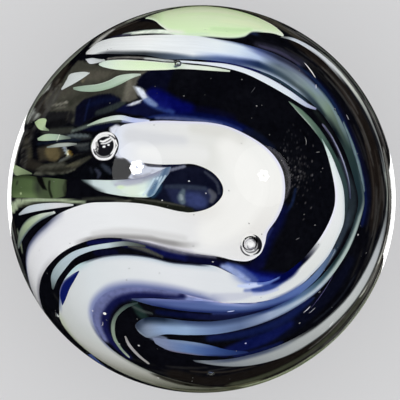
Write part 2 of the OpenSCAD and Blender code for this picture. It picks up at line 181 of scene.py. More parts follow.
SIDE_SLIVER = [
    (-54.5, 18.4, -54.3, 17.9), (-49.5, 19, -49.5, 17.7), (-44.5, 18.8, -44.5, 17.6),
    (-41, 18.3, -41, 17.8)]
SIDE_DROP = [
    (-64.8, 30, -64.4, 29.2), (-61.5, 30.6, -62, 27), (-57.3, 29.4, -59.6, 25.6),
    (-57.2, 26.6, -57.4, 25), (-54.8, 25, -54.6, 24.3)]
BROW_LINE = [
    (-37.5, 24.2, -37.3, 23.8), (-32, 26, -31.7, 24.6), (-26, 26.6, -26, 25), (-21, 25.3, -21.5, 23.8),
    (-16, 24.4, -16.5, 23.4)]
RIM_SLIVER = [
    (-71, -5.8, -70.5, -6.3), (-64, -2.8, -64, -5.2), (-56, -1.6, -56, -4), (-48, -1.3, -48, -3),
    (-41.5, -1.6, -41.5, -2.2)]
RIM_LEAF = [
    (-76.5, -20, -75, -20.5), (-72, -13, -68.5, -15), (-65, -7.8, -62, -10.5), (-57, -5.3, -55.5, -7.2),
    (-49.5, -4.2, -49, -4.8)]
OLIVE_PATCH = [
    (-80, 9, -81, 1), (-74, 9.3, -75, 0.6), (-66, 9, -66, 0.5), (-58, 7.8, -58, 0.3), (-50, 7, -50, 0.2),
    (-44, 6.3, -44.5, 1)]
PALE_FIN = [
    (-79, 14.5, -79.5, 12), (-74, 13.3, -74.5, 9.5), (-68, 11.5, -68, 9.3), (-62, 9.5, -61.8, 9)]
RIM_LINE = [
    (82.6, -22.1, 86, -23), (77.5, -36.1, 80.7, -37.6), (70, -49, 72.9, -51), (60.5, -60.5, 62.9, -62.9),
    (49, -70, 51, -72.9), (36.1, -77.5, 37.6, -80.7), (22.1, -82.6, 23, -86), (7.4, -85, 7.8, -88.5),
    (-7.4, -85, -7.7, -87.5)]
BACK_SWIRL = [
    (62, -42, 58, -48), (52, -31, 47, -41), (40, -19, 36, -33), (26, -10, 22, -26), (10, -3, 6, -19),
    (-6, 6, -10, -10), (-20, 20, -26, 5), (-27, 36, -38, 24), (-27, 48, -37, 42), (-22, 58, -30, 56),
    (-14, 66, -18, 68)]
BACK_LEAF = [
    (70, -10, 70, -14), (58, 4, 56, -5), (44, 14, 40, 4), (28, 20, 25, 10), (12, 27, 8, 17),
    (0, 38, -6, 30), (-4, 50, -11, 46), (-1, 60, -6, 59), (2, 67, 0, 68)]
BACK_BAND = [
    (-55, -27, -54, -33), (-48, -25, -45, -38), (-38, -25, -34, -39), (-24, -28, -20, -42),
    (-8, -34, -6, -48), (10, -42, 12, -54), (28, -52, 30, -62), (44, -60, 46, -65)]
BACK_ARC = [
    (42, 62, 43, 64), (46, 60, 49, 65), (52, 55, 57, 61), (62, 42, 69, 46), (70, 24, 76, 26),
    (74, 8, 78, 8), (78, -6, 80, -6)]


def bend(a, r):
    """Angle from the axis at which a sight line that meets the surface at angle a meets radius r."""
    inside = np.minimum(np.sin(a) * BALL_R / (GLASS_INDEX * r), 1)
    return a + np.arcsin(inside) - np.arcsin(np.sin(a) / GLASS_INDEX)


def sink(steps, r):
    """The same for a distance on the chart, carried evenly on from the rim to the middle of the back."""
    a = steps * (math.pi / 2) / RIM_STEPS
    rim = bend(math.pi / 2, r)
    beyond = rim + (a - math.pi / 2) * (math.pi - rim) / (math.pi / 2)
    return np.where(a <= math.pi / 2, bend(np.minimum(a, math.pi / 2), r), beyond)


def aim(u, v, r, side=1):
    """Ways from the centre to charted places on radius r. side is 1 for the face, -1 for the back."""
    steps = np.maximum(np.hypot(u, v), TINY)
    b = sink(steps, r)
    return np.stack([side * np.sin(b) * u / steps, np.sin(b) * v / steps, side * np.cos(b)], axis=-1)


def chart(points, side=1):
    """The places on the chart that show these points, measured from the ball's centre: the inverse of aim."""
    x, y, z = side * points[:, 0], points[:, 1], side * points[:, 2]
    r = np.linalg.norm(points, axis=1)
    polar = np.arccos(np.clip(z / r, -1, 1))
    low, high = np.zeros(len(r)), np.full(len(r), 2.0 * RIM_STEPS)
    for _ in range(HALVINGS):
        middle = (low + high) / 2
        short = sink(middle, r) < polar
        low, high = np.where(short, middle, low), np.where(short, high, middle)
    flat = np.maximum(np.hypot(x, y), TINY)
    return x / flat * low, y / flat * low


def layer_r(layer):
    """How far a layer of ribbons lies from the ball's centre. Layer 0 is the outermost."""
    return BALL_R - COVER - RIBBON_T / 2 - layer * LAYER_STEP


def along_rows(rows, t):
    """The smooth curve through the rows at shares t of its length."""
    rows = np.array(rows, float)
    last = len(rows) - 1
    place = np.clip(t, 0, 1) * last
    i = np.minimum(place.astype(int), last - 1)
    f = (place - i)[:, None]
    a, b, c, d = rows[np.maximum(i - 1, 0)], rows[i], rows[i + 1], rows[np.minimum(i + 2, last)]
    return 0.5 * (2 * b + (c - a) * f + (2 * a - 5 * b + 4 * c - d) * f**2 + (3 * b - a - 3 * c + d) * f**3)


def unit(p):
    """The same directions, each of length 1."""
    return p / np.linalg.norm(p, axis=-1, keepdims=True)


def ease(x):
    """A soft step, 0 below 0 and 1 above 1."""
    x = np.clip(x, 0, 1)
    return x * x * (3 - 2 * x)


def ramp(x, *stops):
    """Numbers, or colours, that run from each stop (place, value) to the next."""
    places = [place for place, _ in stops]
    values = np.array([value for _, value in stops], float)
    if values.ndim == 1:
        return np.interp(x, places, values)
    return np.stack([np.interp(x, places, channel) for channel in values.T], axis=-1)


def light(shown):
    """The share of light that a shade between 0 and 255 sends back."""
    shown = np.asarray(shown, float) / 255
    return np.where(shown <= 0.04045, shown / 12.92, ((shown + 0.055) / 1.055) ** 2.4)


class Paint:
    """The colours of a piece's points, laid on by their places on the chart. Shades run from 0 to 255."""

    def __init__(self, u, v, ground):
        self.u, self.v = u, v
        self.steps = np.hypot(u, v)
        self.shade = np.tile(np.array(ground, float), (len(u), 1))

    def lay(self, colour, amount):
        """Mixes a colour in, by an amount from 0 to 1 at each point."""
        self.shade += (np.asarray(colour, float) - self.shade) * np.asarray(amount)[..., None]

    def stroke(self, line, colour, soft=2.0, amount=1.0):
        """One pull of the brush along a line of rows: across, up and the brush's half width."""
        fine = along_rows(line, np.linspace(0, 1, 6 * (len(line) - 1) + 1))
        beyond = np.full(len(self.u), np.inf)
        for (x, y, w), (x2, y2, w2) in zip(fine, fine[1:]):
            reach = max(w, w2) + soft
            near = np.flatnonzero(
                (self.u > min(x, x2) - reach) & (self.u < max(x, x2) + reach)
                & (self.v > min(y, y2) - reach) & (self.v < max(y, y2) + reach))
            dx, dy = x2 - x, y2 - y
            from_x, from_y = self.u[near] - x, self.v[near] - y
            share = np.clip((from_x * dx + from_y * dy) / max(dx * dx + dy * dy, TINY), 0, 1)
            gap = np.hypot(from_x - share * dx, from_y - share * dy) - (w + share * (w2 - w))
            beyond[near] = np.minimum(beyond[near], gap)
        self.lay(colour, ease(1 - beyond / soft) * amount)

    def spot(self, place, size, colour, turn=0, soft=0.5, amount=1.0):
        """A soft oval at a place. size is half its length and half its width, turn its lean in degrees."""
        lean = math.radians(turn)
        x, y = self.u - place[0], self.v - place[1]
        along = (x * math.cos(lean) + y * math.sin(lean)) / size[0]
        across = (y * math.cos(lean) - x * math.sin(lean)) / size[1]
        self.lay(colour, ease((1 - np.hypot(along, across)) / soft) * amount)

    def patch(self, outline, colour, soft=0.6, amount=1.0):
        """Fills a closed outline of places, with its edge a little soft."""
        x_places, y_places = zip(*outline)
        near = np.flatnonzero(
            (self.u > min(x_places) - soft) & (self.u < max(x_places) + soft)
            & (self.v > min(y_places) - soft) & (self.v < max(y_places) + soft))
        u, v = self.u[near], self.v[near]
        edge, inside = np.full(len(near), np.inf), np.zeros(len(near), bool)
        for (x, y), (x2, y2) in zip(outline, outline[1:] + outline[:1]):
            dx, dy = x2 - x, y2 - y
            share = np.clip(((u - x) * dx + (v - y) * dy) / max(dx * dx + dy * dy, TINY), 0, 1)
            edge = np.minimum(edge, np.hypot(u - x - share * dx, v - y - share * dy))
            if dy:
                inside ^= ((y > v) != (y2 > v)) & (u < x + dx * (v - y) / dy)
        cover = np.zeros(len(self.u))
        cover[near] = ease(0.5 + np.where(inside, edge, -edge) / soft)
        self.lay(colour, cover * amount)

    def pulls(self, table):
        """Strokes and patches: colour, softness, strength, then a stroke's rows or a patch's corners."""
        for colour, soft, amount, *line in table:
            (self.stroke if len(line[0]) == 3 else self.patch)(line, colour, soft, amount)

    def drawn(self, draw, count, steps, turns, shades, widest=0.5):
        """Fine streaks round the middle, within a range of distances, directions in degrees and shades."""
        for _ in range(count):
            reach = draw.uniform(*steps)
            start = draw.uniform(*turns)
            sweep = draw.uniform(6, 16)
            drift = draw.uniform(-1.5, 1.5)
            level = draw.uniform(*shades)
            line = []
            for share in (0, 0.5, 1):
                a = math.radians(start + sweep * share)
                far = reach + drift * share
                line.append((far * math.cos(a), far * math.sin(a),
                             widest * draw.random() * (1 - abs(2 * share - 1))))
            self.stroke(line, (level, level * 0.98, level * 0.95), 0.8, 0.7)

    def fleck(self, draw, place, colour):
        """A short fleck of a random length and lean."""
        self.spot(place, (draw.uniform(0.25, 0.5), 0.22), colour, draw.uniform(40, 110), 0.9, 0.8)

    def worked(self):
        """The shares of light that the paint sends back, more towards the sides, which get less of it."""
        side = np.minimum(self.steps / RIM_STEPS, RIM_LOSS_TO)
        loss = SIDE_LOSS * side**2 + RIM_LOSS * np.maximum(side - RIM_LOSS_FROM, 0) ** 2
        return np.minimum(light(self.shade) / (1 - loss)[:, None], 1)


class RibbonPaint(Paint):
    """Paint for a ribbon, which also knows each point's row along it and its distance from both edges."""

    def __init__(self, u, v, row, from_first, from_second, ground):
        super().__init__(u, v, ground)
        self.row, self.from_first, self.from_second = row, from_first, from_second

    def along(self, *stops):
        """The colours down the ribbon's middle, each at a row."""
        self.shade[:] = ramp(self.row, *stops)

    def between(self, rows):
        """A strength that comes in between the first two of four rows and goes out between the last two."""
        if rows is None:
            return 1.0
        a, b, c, d = rows
        return ramp(self.row, (a, 0), (b, 1), (c, 1), (d, 0))

    def first_edge(self, reach, colour, rows=None, amount=1.0, full=0.0):
        """A colour along the edge that the rows name first: full so far in, then faded out over the reach."""
        self.lay(colour, ease(1 - (self.from_first - full) / reach) * self.between(rows) * amount)

    def second_edge(self, reach, colour, rows=None, amount=1.0, full=0.0):
        """The same along the other edge."""
        self.lay(colour, ease(1 - (self.from_second - full) / reach) * self.between(rows) * amount)

    def vein(self, colour, soft, *rows):
        """A vein along the ribbon: rows of its row, distance from the first edge, half width and strength."""
        far, half, strength = ramp(self.row, *((row, rest) for row, *rest in rows)).T
        self.lay(colour, ease(1 - (np.abs(self.from_first - far) - half) / soft) * strength)


def only(piece):
    """Makes this piece the one that operators work on."""
    bpy.ops.object.select_all(action="DESELECT")
    piece.select_set(True)
    bpy.context.view_layer.objects.active = piece


def added(name, primitive, **settings):
    """A new primitive, under its name."""
    bpy.ops.object.select_all(action="DESELECT")
    primitive(**settings)
    piece = bpy.context.object
    piece.name = piece.data.name = name
    return piece


def on_all(operator, **settings):
    """Runs an operator on the whole mesh of the piece in hand."""
    bpy.ops.object.mode_set(mode="EDIT")
    bpy.ops.mesh.select_all(action="SELECT")
    operator(**settings)
    bpy.ops.object.mode_set(mode="OBJECT")


def joined(pieces):
    """One piece made of many, under the name of the first."""
    only(pieces[0])
    for piece in pieces:
        piece.select_set(True)
    bpy.ops.object.join()
    bpy.ops.object.shade_smooth()
    return pieces[0]


def thickened(piece, thickness, offset, section=None):
    """Gives a sheet its thickness, less where the section's weights are low, and smooths its shading."""
    only(piece)
    bpy.ops.object.modifier_add(type="SOLIDIFY")
    wall = piece.modifiers[-1]
    wall.thickness = thickness * MM
    wall.offset = offset
    if section:
        wall.vertex_group = section.name
        wall.thickness_vertex_group = EDGE_SHARE
    bpy.ops.object.modifier_apply(modifier=wall.name)
    on_all(bpy.ops.mesh.normals_make_consistent, inside=False)
    piece.vertex_groups.clear()
    bpy.ops.object.shade_smooth_by_angle(angle=SMOOTH)
    return piece


def without_shade(piece):
    """Lets light pass a piece, so that it darkens nothing behind it."""
    piece.visible_shadow = False
    piece.visible_diffuse = False
    return piece


def points_of(piece):
    """The points of a piece, in metres."""
    flat = np.empty(len(piece.data.vertices) * 3)
    piece.data.vertices.foreach_get("co", flat)
    return flat.reshape(-1, 3)


def place_points(piece, points):
    """Moves the points of a piece to these places."""
    piece.data.vertices.foreach_set("co", np.ascontiguousarray(points).ravel())
    piece.data.update()


def set_tint(piece, brush):
    """Writes the painted colours as the piece's own attribute."""
    layer = piece.data.color_attributes.new("tint", "FLOAT_COLOR", "POINT")
    rows = np.ones((len(brush.shade), 4))
    rows[:, :3] = brush.worked()
    layer.data.foreach_set("color", rows.ravel())


def finished(piece, finish, slot, *nodes):
    """Gives a finished piece its material and its body, and hides the nodes it stands for. slot is not used.
    """
    piece.data.materials.clear()
    piece.data.materials.append(finish)
    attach(piece, "root")
    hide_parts(*nodes)
    return piece


def laid_ribbon(name, rows, layer, side, columns, lanes, paint):
    """A ribbon along the rows of a route on one layer, thick along its middle and thin at its edges."""
    piece = added(name, bpy.ops.mesh.primitive_grid_add, x_subdivisions=columns, y_subdivisions=lanes, size=1)
    flat = points_of(piece)
    t, s = flat[:, 0] + 0.5, flat[:, 1] + 0.5
    crossing = along_rows(rows, t)
    r = layer_r(layer)
    first = aim(crossing[:, 0], crossing[:, 1], r, side)
    second = aim(crossing[:, 2], crossing[:, 3], r, side)
    place_points(piece, unit(first + (second - first) * s[:, None]) * r * MM)

    middle = unit(first + second) * r
    lane = np.flatnonzero(s < 1e-6)
    lane = lane[np.argsort(t[lane])]
    gone = np.concatenate([[0], np.cumsum(np.linalg.norm(np.diff(middle[lane], axis=0), axis=1))])
    run = np.interp(t, t[lane], gone)
    over = (s - 0.5) * np.linalg.norm(second - first, axis=1) * r
    corners = np.empty(len(piece.data.loops), int)
    piece.data.loops.foreach_get("vertex_index", corners)
    piece.data.uv_layers.active.data.foreach_set("uv", np.stack([run, over], axis=-1)[corners].ravel())

    width = np.hypot(crossing[:, 2] - crossing[:, 0], crossing[:, 3] - crossing[:, 1])
    u = crossing[:, 0] + (crossing[:, 2] - crossing[:, 0]) * s
    v = crossing[:, 1] + (crossing[:, 3] - crossing[:, 1]) * s
    brush = RibbonPaint(u, v, t * (len(rows) - 1), s * width, (1 - s) * width, WHITE)
    paint(brush)
    set_tint(piece, brush)

    section = piece.vertex_groups.new(name="section")
    swell = (1 - (2 * s - 1) ** 2) * np.clip(np.minimum(t, 1 - t) * TIP_RISE + TIP_SHARE, 0, 1)
    for weight in np.unique(np.round(swell, 2)):
        section.add(np.flatnonzero(np.round(swell, 2) == weight).tolist(), float(weight), "REPLACE")
    return thickened(piece, RIBBON_T, 0, section)


class Wire:
    """A node's output, which can be used in sums: each sum adds the Math node that works it out."""

    def __init__(self, finish, socket):
        self.finish, self.socket = finish, socket

    def worked(self, operation, first, second):
        return self.finish.node("ShaderNodeMath", {"operation": operation}, {0: first, 1: second})

    def __add__(self, other):
        return self.worked("ADD", self, other)

    def __sub__(self, other):
        return self.worked("SUBTRACT", self, other)

    def __rsub__(self, other):
        return self.worked("SUBTRACT", other, self)

    def __mul__(self, other):
        return self.worked("MULTIPLY", self, other)

    __radd__, __rmul__ = __add__, __mul__


class Finish:
    """A material built node by node."""

    def __init__(self, name):
        self.material = bpy.data.materials.new(name)
        self.material.use_nodes = True
        self.tree = self.material.node_tree
        self.tree.nodes.clear()

    def node(self, kind, settings, sockets, output=0):
        """Adds a node with its settings and the values or wires of its sockets. Gives one of its outputs."""
        made = self.tree.nodes.new(kind)
        for name, value in settings.items():
            setattr(made, name, value)
        for key, value in sockets.items():
            if isinstance(value, Wire):
                self.tree.links.new(value.socket, made.inputs[key])
            else:
                made.inputs[key].default_value = value
        return Wire(self, made.outputs[output]) if made.outputs else None

    def tint(self):
        """The piece's painted colours."""
        return self.node("ShaderNodeAttribute", {"attribute_name": "tint"}, {}, "Color")

    def place(self):
        """Places on the piece, in metres."""
        return self.node("ShaderNodeTexCoord", {}, {}, "Object")

    def noise(self, place, scale, detail):
        """A cloudy field of numbers round 0.5."""
        return self.node("ShaderNodeTexNoise", {}, {"Vector": place, "Scale": scale, "Detail": detail})

    def scaled(self, colour, amount):
        """A colour made brighter or darker."""
        return self.node("ShaderNodeVectorMath", {"operation": "SCALE"}, {0: colour, "Scale": amount})

    def surface(self, shader):
        """The finished material, with this shader all over."""
        self.node("ShaderNodeOutputMaterial", {}, {"Surface": shader})
        return self.material

    def matt(self, colour, roughness=0.6, gloss=0.0):
        """The finished material, matt and of this colour."""
        return self.surface(self.node("ShaderNodeBsdfPrincipled", {}, {
            "Base Color": colour, "Roughness": roughness, "Specular IOR Level": gloss}))


def opal(name, streak, mottle):
    """Opal glass: its painted tint, drawn out in faint streaks along the ribbon's own map."""
    finish = Finish(name)
    run = finish.node("ShaderNodeUVMap", {"uv_map": "UVMap"}, {})
    drawn = finish.node("ShaderNodeVectorMath", {"operation": "MULTIPLY"}, {0: run, 1: (0.35, 7, 1)})
    lines = finish.noise(drawn, 1.0, 3.0)
    cloud = finish.noise(finish.place(), 900.0, 2.0)
    return finish.matt(finish.scaled(finish.tint(), 1 + (lines - 0.5) * streak + (cloud - 0.5) * mottle))


def dark_glass():
    """The heart's glass: its painted tint with a fine cloudiness, so that no field of it is flat."""
    finish = Finish("dark_heart_glass")
    place = finish.place()
    cloud = finish.noise(place, 700.0, 5.0)
    grain = finish.noise(place, 5200.0, 2.0)
    mottled = finish.scaled(finish.tint(), 1 + (cloud - 0.5) * 0.6 + (grain - 0.5) * 0.7)
    haze = finish.scaled((0.9, 1, 1.3), cloud * grain * 0.008)
    return finish.matt(finish.node("ShaderNodeVectorMath", {"operation": "ADD"}, {0: mottled, 1: haze}))


def clear_ball_glass():
    """Clear glass that bends sight lines, but lets the light on the colours inside go straight through."""
    finish = Finish("clear_ball_glass")
    ray = finish.tree.nodes.new("ShaderNodeLightPath")
    glass = finish.node("ShaderNodeBsdfPrincipled", {}, {
        "Base Color": (1, 1, 1, 1), "Roughness": 0.0, "IOR": GLASS_INDEX, "Transmission Weight": 1.0})
    open_way = finish.node("ShaderNodeBsdfTransparent", {}, {"Color": (1, 1, 1, 1)})
    lit = finish.node("ShaderNodeMixShader", {}, {
        0: Wire(finish, ray.outputs["Is Diffuse Ray"]), 1: glass, 2: open_way})
    return finish.surface(finish.node("ShaderNodeMixShader", {}, {
        0: Wire(finish, ray.outputs["Is Shadow Ray"]), 1: lit, 2: open_way}))


def clouded(name, scale, mottle, roughness):
    """A skin for painted bubble reflections and for specks and glints: its painted tint, a little uneven."""
    finish = Finish(name)
    cloud = finish.noise(finish.place(), scale, 2.0)
    return finish.matt(finish.scaled(finish.tint(), 1 + (cloud - 0.5) * mottle), roughness)


def paint_hook(brush):
    brush.along((0, (214, 222, 238)), (1, (226, 230, 240)), (2, (229, 231, 234)), (4, (231, 232, 231)),
                (6, (229, 230, 226)), (8, (240, 241, 238)), (11, (243, 243, 240)), (14, (233, 232, 229)),
                (17, (232, 232, 232)), (20, (234, 235, 236)), (23, (236, 238, 240)), (27, (224, 225, 228)),
                (29, (214, 215, 217)), (31, (192, 193, 194)), (32.5, (150, 150, 150)), (34, (84, 83, 78)),
                (35, (60, 60, 54)))
    brush.stroke([(-22, 19.6, 0.8), (-14, 17.6, 1.2), (-6, 17, 0.6)], (216, 218, 222), 2.5, 0.8)
    brush.stroke([(-2, 21.4, 0.6), (5, 20.6, 1), (11, 18, 0.6)], (222, 222, 217), 2.6, 0.8)
    brush.stroke([(8, 15, 1), (12, 9, 2), (15, 3, 2.4), (10, -6, 2), (3, -10, 1.6)], (247, 247, 244), 5, 0.8)
    brush.stroke([(-17, 14, 0.5), (-8, 14, 1), (0, 13, 1)], (240, 241, 240), 3, 0.7)
    brush.first_edge(1.3, (222, 223, 246), (1, 3, 14, 16))
    brush.first_edge(1.2, (242, 243, 252), (14, 15, 18, 19))
    # Grey lines inside the lower edge: painted shade along a fold in the white
    brush.stroke([(-41, -14.4, 0.1), (-35.5, -13, 0.3), (-30.5, -11.9, 0.3), (-24, -11.6, 0.35),
                  (-16, -11.8, 0.35), (-12.6, -12.5, 0.35), (-6.6, -13.4, 0.3), (-3.4, -13.6, 0.3),
                  (1, -13.1, 0.1)], (142, 140, 140), 1.3,
                 ramp(brush.u, (-42, 0), (-36, 0.9), (-8, 0.85), (0, 0)))
    brush.stroke([(-34, -11, 0.1), (-25, -9.8, 0.3), (-15, -10.2, 0.3), (-5, -11.6, 0.1)], (206, 206, 206),
                 1.6, 0.6)
    brush.stroke([(-22, -13, 0.2), (-16, -13.3, 0.3), (-9, -14.9, 0.3), (-3, -15.6, 0.2)], (216, 214, 224),
                 0.9, 0.9)
    brush.first_edge(1, (168, 167, 172), (18.4, 19.2, 20.8, 21.8), 0.9)
    brush.first_edge(3, (180, 180, 184), (26, 27.4, 30, 31), 0.8)
    brush.first_edge(2.6, (130, 130, 138), (28, 30, 33, 34))
    brush.second_edge(4.6, (152, 157, 176), (25.5, 27, 30.5, 32))
    brush.second_edge(2.4, (58, 62, 86), (25.5, 27, 30.5, 32))
    brush.second_edge(1.4, (110, 110, 108), (30.5, 31.5, 34, 35))


def paint_sweep(brush):
    brush.along((0, (120, 148, 140)), (0.7, (196, 214, 210)), (1.6, (224, 232, 232)), (5, (228, 231, 232)),
                (8, (220, 223, 221)), (12, (222, 226, 230)), (15, (227, 230, 234)), (17, (222, 226, 229)),
                (19, (213, 219, 222)), (21, (203, 207, 208)), (22, (196, 200, 200)), (23, (192, 196, 194)),
                (24.5, (187, 189, 185)), (26, (162, 163, 155)), (27.5, (130, 131, 119)),
                (28.5, (106, 108, 96)), (30, (72, 75, 59)), (31, (86, 88, 70)))
    brush.first_edge(1.2, (232, 232, 246), (2, 3, 6, 7))
    brush.second_edge(1.8, (212, 222, 226), (1, 2, 6, 8))
    brush.second_edge(1.6, (198, 206, 218), (6, 7.5, 9, 10))
    brush.first_edge(0.8, (3, 4, 20), (6.6, 7.8, 8.4, 8.9), 1, 1)
    brush.first_edge(4.6, (150, 162, 194), (8.4, 9.4, 11, 12.4))
    brush.first_edge(3, (120, 138, 200), (9.8, 10.6, 11.2, 12.2), 0.9)
    brush.stroke([(20, -28, 0.4), (16.4, -28.4, 0.4), (13.6, -28.3, 0)], (122, 136, 186), 1.2)
    brush.stroke([(26, -24.8, 0.4), (22, -27, 0.8), (19, -28, 0.3), (16, -28, 0)], (48, 66, 132), 1.3)
    brush.stroke([(30.8, -20.4, 0.2), (28, -22.6, 1.2), (25.2, -24.4, 1), (22.6, -25.6, 0.3)], (3, 8, 62),
                 1.5)
    brush.stroke([(11.4, -26.6, 0), (15, -26.8, 0.4), (18.4, -26.5, 0.15)], (200, 212, 244), 0.8)
    brush.stroke([(17.8, -26, 0.2), (20.8, -25.8, 0.3), (24, -24.6, 0.1)], (98, 120, 186), 0.8)
    brush.stroke([(14, -29.4, 0.1), (19, -29.6, 0.2), (24, -28.4, 0.1)], (176, 186, 226), 0.8, 0.6)
    brush.second_edge(1.4, (120, 132, 168), (8.6, 9.2, 10, 10.8))
    brush.stroke([(15, -29.6, 0.2), (12, -30.2, 0.6), (8, -30.4, 0.8), (4, -30, 0.4)], (200, 204, 217), 1.4,
                 0.9)
    brush.second_edge(3.8, (120, 129, 172), (12.6, 14, 20.4, 21.6))
    brush.second_edge(1.4, (104, 114, 158), (13, 14, 17.4, 18.4))
    brush.second_edge(2.8, (106, 112, 136), (20.6, 21.6, 23, 24.2), 1, 0.2)
    brush.second_edge(3.4, (122, 126, 120), (23.2, 24.4, 26, 27))
    brush.first_edge(2.4, (186, 200, 214), (12.6, 13.4, 18, 19), 0.9)
    brush.first_edge(0.7, (12, 14, 32), (13.2, 13.8, 19.2, 19.8), 1, 0.1)
    brush.first_edge(3.2, (176, 202, 206), (18.6, 19.6, 20.4, 21.2), 0.9)
    brush.first_edge(2.2, (86, 98, 130), (20.6, 21.4, 22.4, 23.2))
    brush.first_edge(7, (174, 182, 158), (23, 24, 25.4, 26.6), 0.9)
    brush.first_edge(5, (146, 151, 132), (24.2, 24.9, 25.6, 27), 0.9)
    brush.first_edge(1.2, (60, 62, 52), (24.4, 24.9, 25.2, 25.8))
    brush.first_edge(2.6, (116, 119, 109), (25.6, 26.2, 28, 29), 0.9)
    brush.patch([(-19.5, -66.4), (-15.5, -69.6), (-9.4, -73), (-1, -75.6), (4, -77), (7, -76), (-2, -73),
                 (-9.5, -70.2), (-16, -67)], (40, 39, 33), 1.6)
    brush.spot((-5.6, -73.4), (3.4, 1.1), (6, 6, 3), -24, 0.9)
    brush.stroke([(-42, -66.4, 0.3), (-31, -71.4, 0.6), (-20, -75, 0.3)], (148, 149, 138), 1.6, 0.6)
    brush.stroke([(-20, -77.6, 0.3), (-10, -80.2, 0.8), (2, -81.6, 0.6), (10, -81.4, 0.3)], (114, 114, 96), 2,
                 0.8)
    brush.stroke([(-12, -78, 0.2), (-4, -78.8, 0.4), (6, -79.6, 0.2)], (58, 60, 46), 1.2, 0.8)


def paint_long_band(brush):
    brush.along((0, (196, 198, 195)), (0.5, (212, 214, 212)), (1, (215, 218, 218)), (2, (220, 223, 223)),
                (4, (234, 238, 238)), (6, (228, 234, 238)), (7, (228, 236, 244)), (8, (213, 227, 242)),
                (9, (178, 196, 226)), (9.5, (128, 144, 168)), (10, (80, 94, 108)), (11, (126, 141, 148)),
                (12, (124, 143, 148)), (13, (118, 138, 122)),
                (14, (72, 86, 78)), (15, (38, 55, 54)), (16.4, (28, 44, 50)), (19, (34, 46, 50)),
                (20, (26, 42, 44)), (21, (62, 86, 102)), (22, (126, 148, 176)), (23, (150, 164, 190)),
                (24, (96, 114, 150)), (25, (110, 132, 172)), (26, (142, 168, 201)), (27, (138, 162, 197)),
                (28, (124, 138, 160)), (29, (84, 96, 114)), (30, (60, 62, 70)))
    brush.first_edge(1, (152, 152, 148), (-1, 0, 0.2, 0.8))
    # Lilac, then grey green, between the navy of the first edge and the middle
    lilac = ramp(brush.row, (9, (112, 126, 172)), (10, (100, 112, 138)), (11, (102, 112, 132)),
                 (12, (118, 134, 162)))
    brush.vein(lilac, 2.2, (8.2, 0.6, 0.8, 0), (9, 1, 1.6, 1), (10, 2.8, 0.8, 1), (11, 3, 0.2, 0.9),
               (12, 2.4, 0.2, 0.8), (13, 2, 0, 0))
    brush.vein((118, 139, 146), 1.4, (12, 1.6, 0, 0), (13, 1, 0, 1), (14, 0.8, 0.8, 0.7), (15, 0.4, 0, 0))
    brush.vein((110, 124, 134), 1.6, (9.2, 6.4, 0, 0), (10, 6.4, 0, 1), (10.8, 6.4, 0, 0.9), (11.6, 6, 0, 0))
    brush.vein((106, 124, 114), 1.8, (11, 7.2, 0, 0), (12, 6.6, 0, 0.9), (12.8, 6, 0, 0))
    navy = ramp(brush.row, (7, (160, 168, 186)), (8, (70, 84, 118)), (9, (52, 64, 108)), (10, (44, 49, 70)),
                (11, (49, 50, 68)), (12, (4, 8, 34)), (13, (56, 78, 98)))
    brush.vein(navy, 2.2, (6, 0, -1.4, 0), (7, 0, -0.8, 1), (8, 0, -0.3, 1), (9, 0, 0.4, 1), (10, 0, 1.6, 1),
               (11, 0, 1.3, 1), (12, 0, 0.2, 1), (13, 0, -0.7, 1), (13.8, 0, -1.2, 0))
    brush.vein((150, 170, 212), 2.4, (6, 9.4, 0, 0), (7, 8.6, 0, 0.9), (8, 8, 0, 0.85), (8.6, 7.4, 0, 0.8),
               (9, 7, 0, 0))
    # The dark streak along the second edge. Its rows lie past the edge, and its half width reaches back in
    streak = ramp(brush.row, (2, (90, 94, 98)), (4, (48, 53, 58)), (6, (90, 106, 130)), (7, (80, 98, 142)),
                  (8, (58, 72, 118)), (9, (30, 46, 80)), (10, (56, 72, 86)), (11, (70, 82, 86)),
                  (12, (46, 60, 72)), (13, (20, 30, 36)))
    brush.vein(streak, 2, (0.6, 12, 2.3, 0), (2, 12, 2.5, 1), (4, 12, 2.1, 1), (5, 12, 1.6, 1), (6, 12, 1, 1),
               (7, 12, 2.6, 1), (8, 12, 3.3, 1), (9, 12, 4.5, 1), (10, 12, 3.4, 1), (11, 12, 2.9, 1),
               (12, 12, 3.6, 1), (13, 12, 4.7, 1), (13.6, 12, 5.6, 0))
    brush.second_edge(1.5, (150, 164, 184), (7.8, 9.2, 11, 11.8))
    brush.second_edge(3, (44, 54, 54), (12.8, 13.4, 13.6, 14.2), 0.8)
    brush.second_edge(1.6, (10, 18, 24), (13.2, 14, 14.2, 15), 1, 0.3)
    brush.vein((166, 182, 178), 1.5, (15.6, 0.4, 0, 0), (17, 0.8, 0, 0.4), (18, 1.1, 0.2, 0.82),
               (19, 1.15, 0.2, 1), (19.6, 0.8, 0.5, 1), (20, 0.7, 0.6, 1), (20.6, 0.8, 0.5, 1),
               (21.2, 1.1, 0.5, 0))
    brush.vein((186, 198, 210), 1.3, (20.2, 1, 0.2, 0), (21, 1.2, 0.3, 0.9), (22, 1.7, 0.1, 0.75),
               (23, 2, 0, 0))
    brush.first_edge(1.1, (96, 106, 134), (20.3, 21, 23.2, 24.4))
    brush.second_edge(1.6, (58, 82, 124), (21, 22, 22.2, 23), 1, 0.1)
    brush.second_edge(1.4, (30, 46, 94), (22, 22.9, 23.2, 24.2))
    brush.second_edge(2.6, (54, 68, 102), (23, 24, 26, 27))
    brush.first_edge(1.4, (104, 114, 130), (27, 27.9, 28.1, 29))
    brush.second_edge(3.6, (20, 30, 46), (26, 27, 28.2, 29))
    brush.second_edge(4.6, (48, 58, 76), (28.2, 29, 29.4, 30))
    brush.first_edge(1.8, (130, 142, 156), (28, 28.9, 29.2, 30))


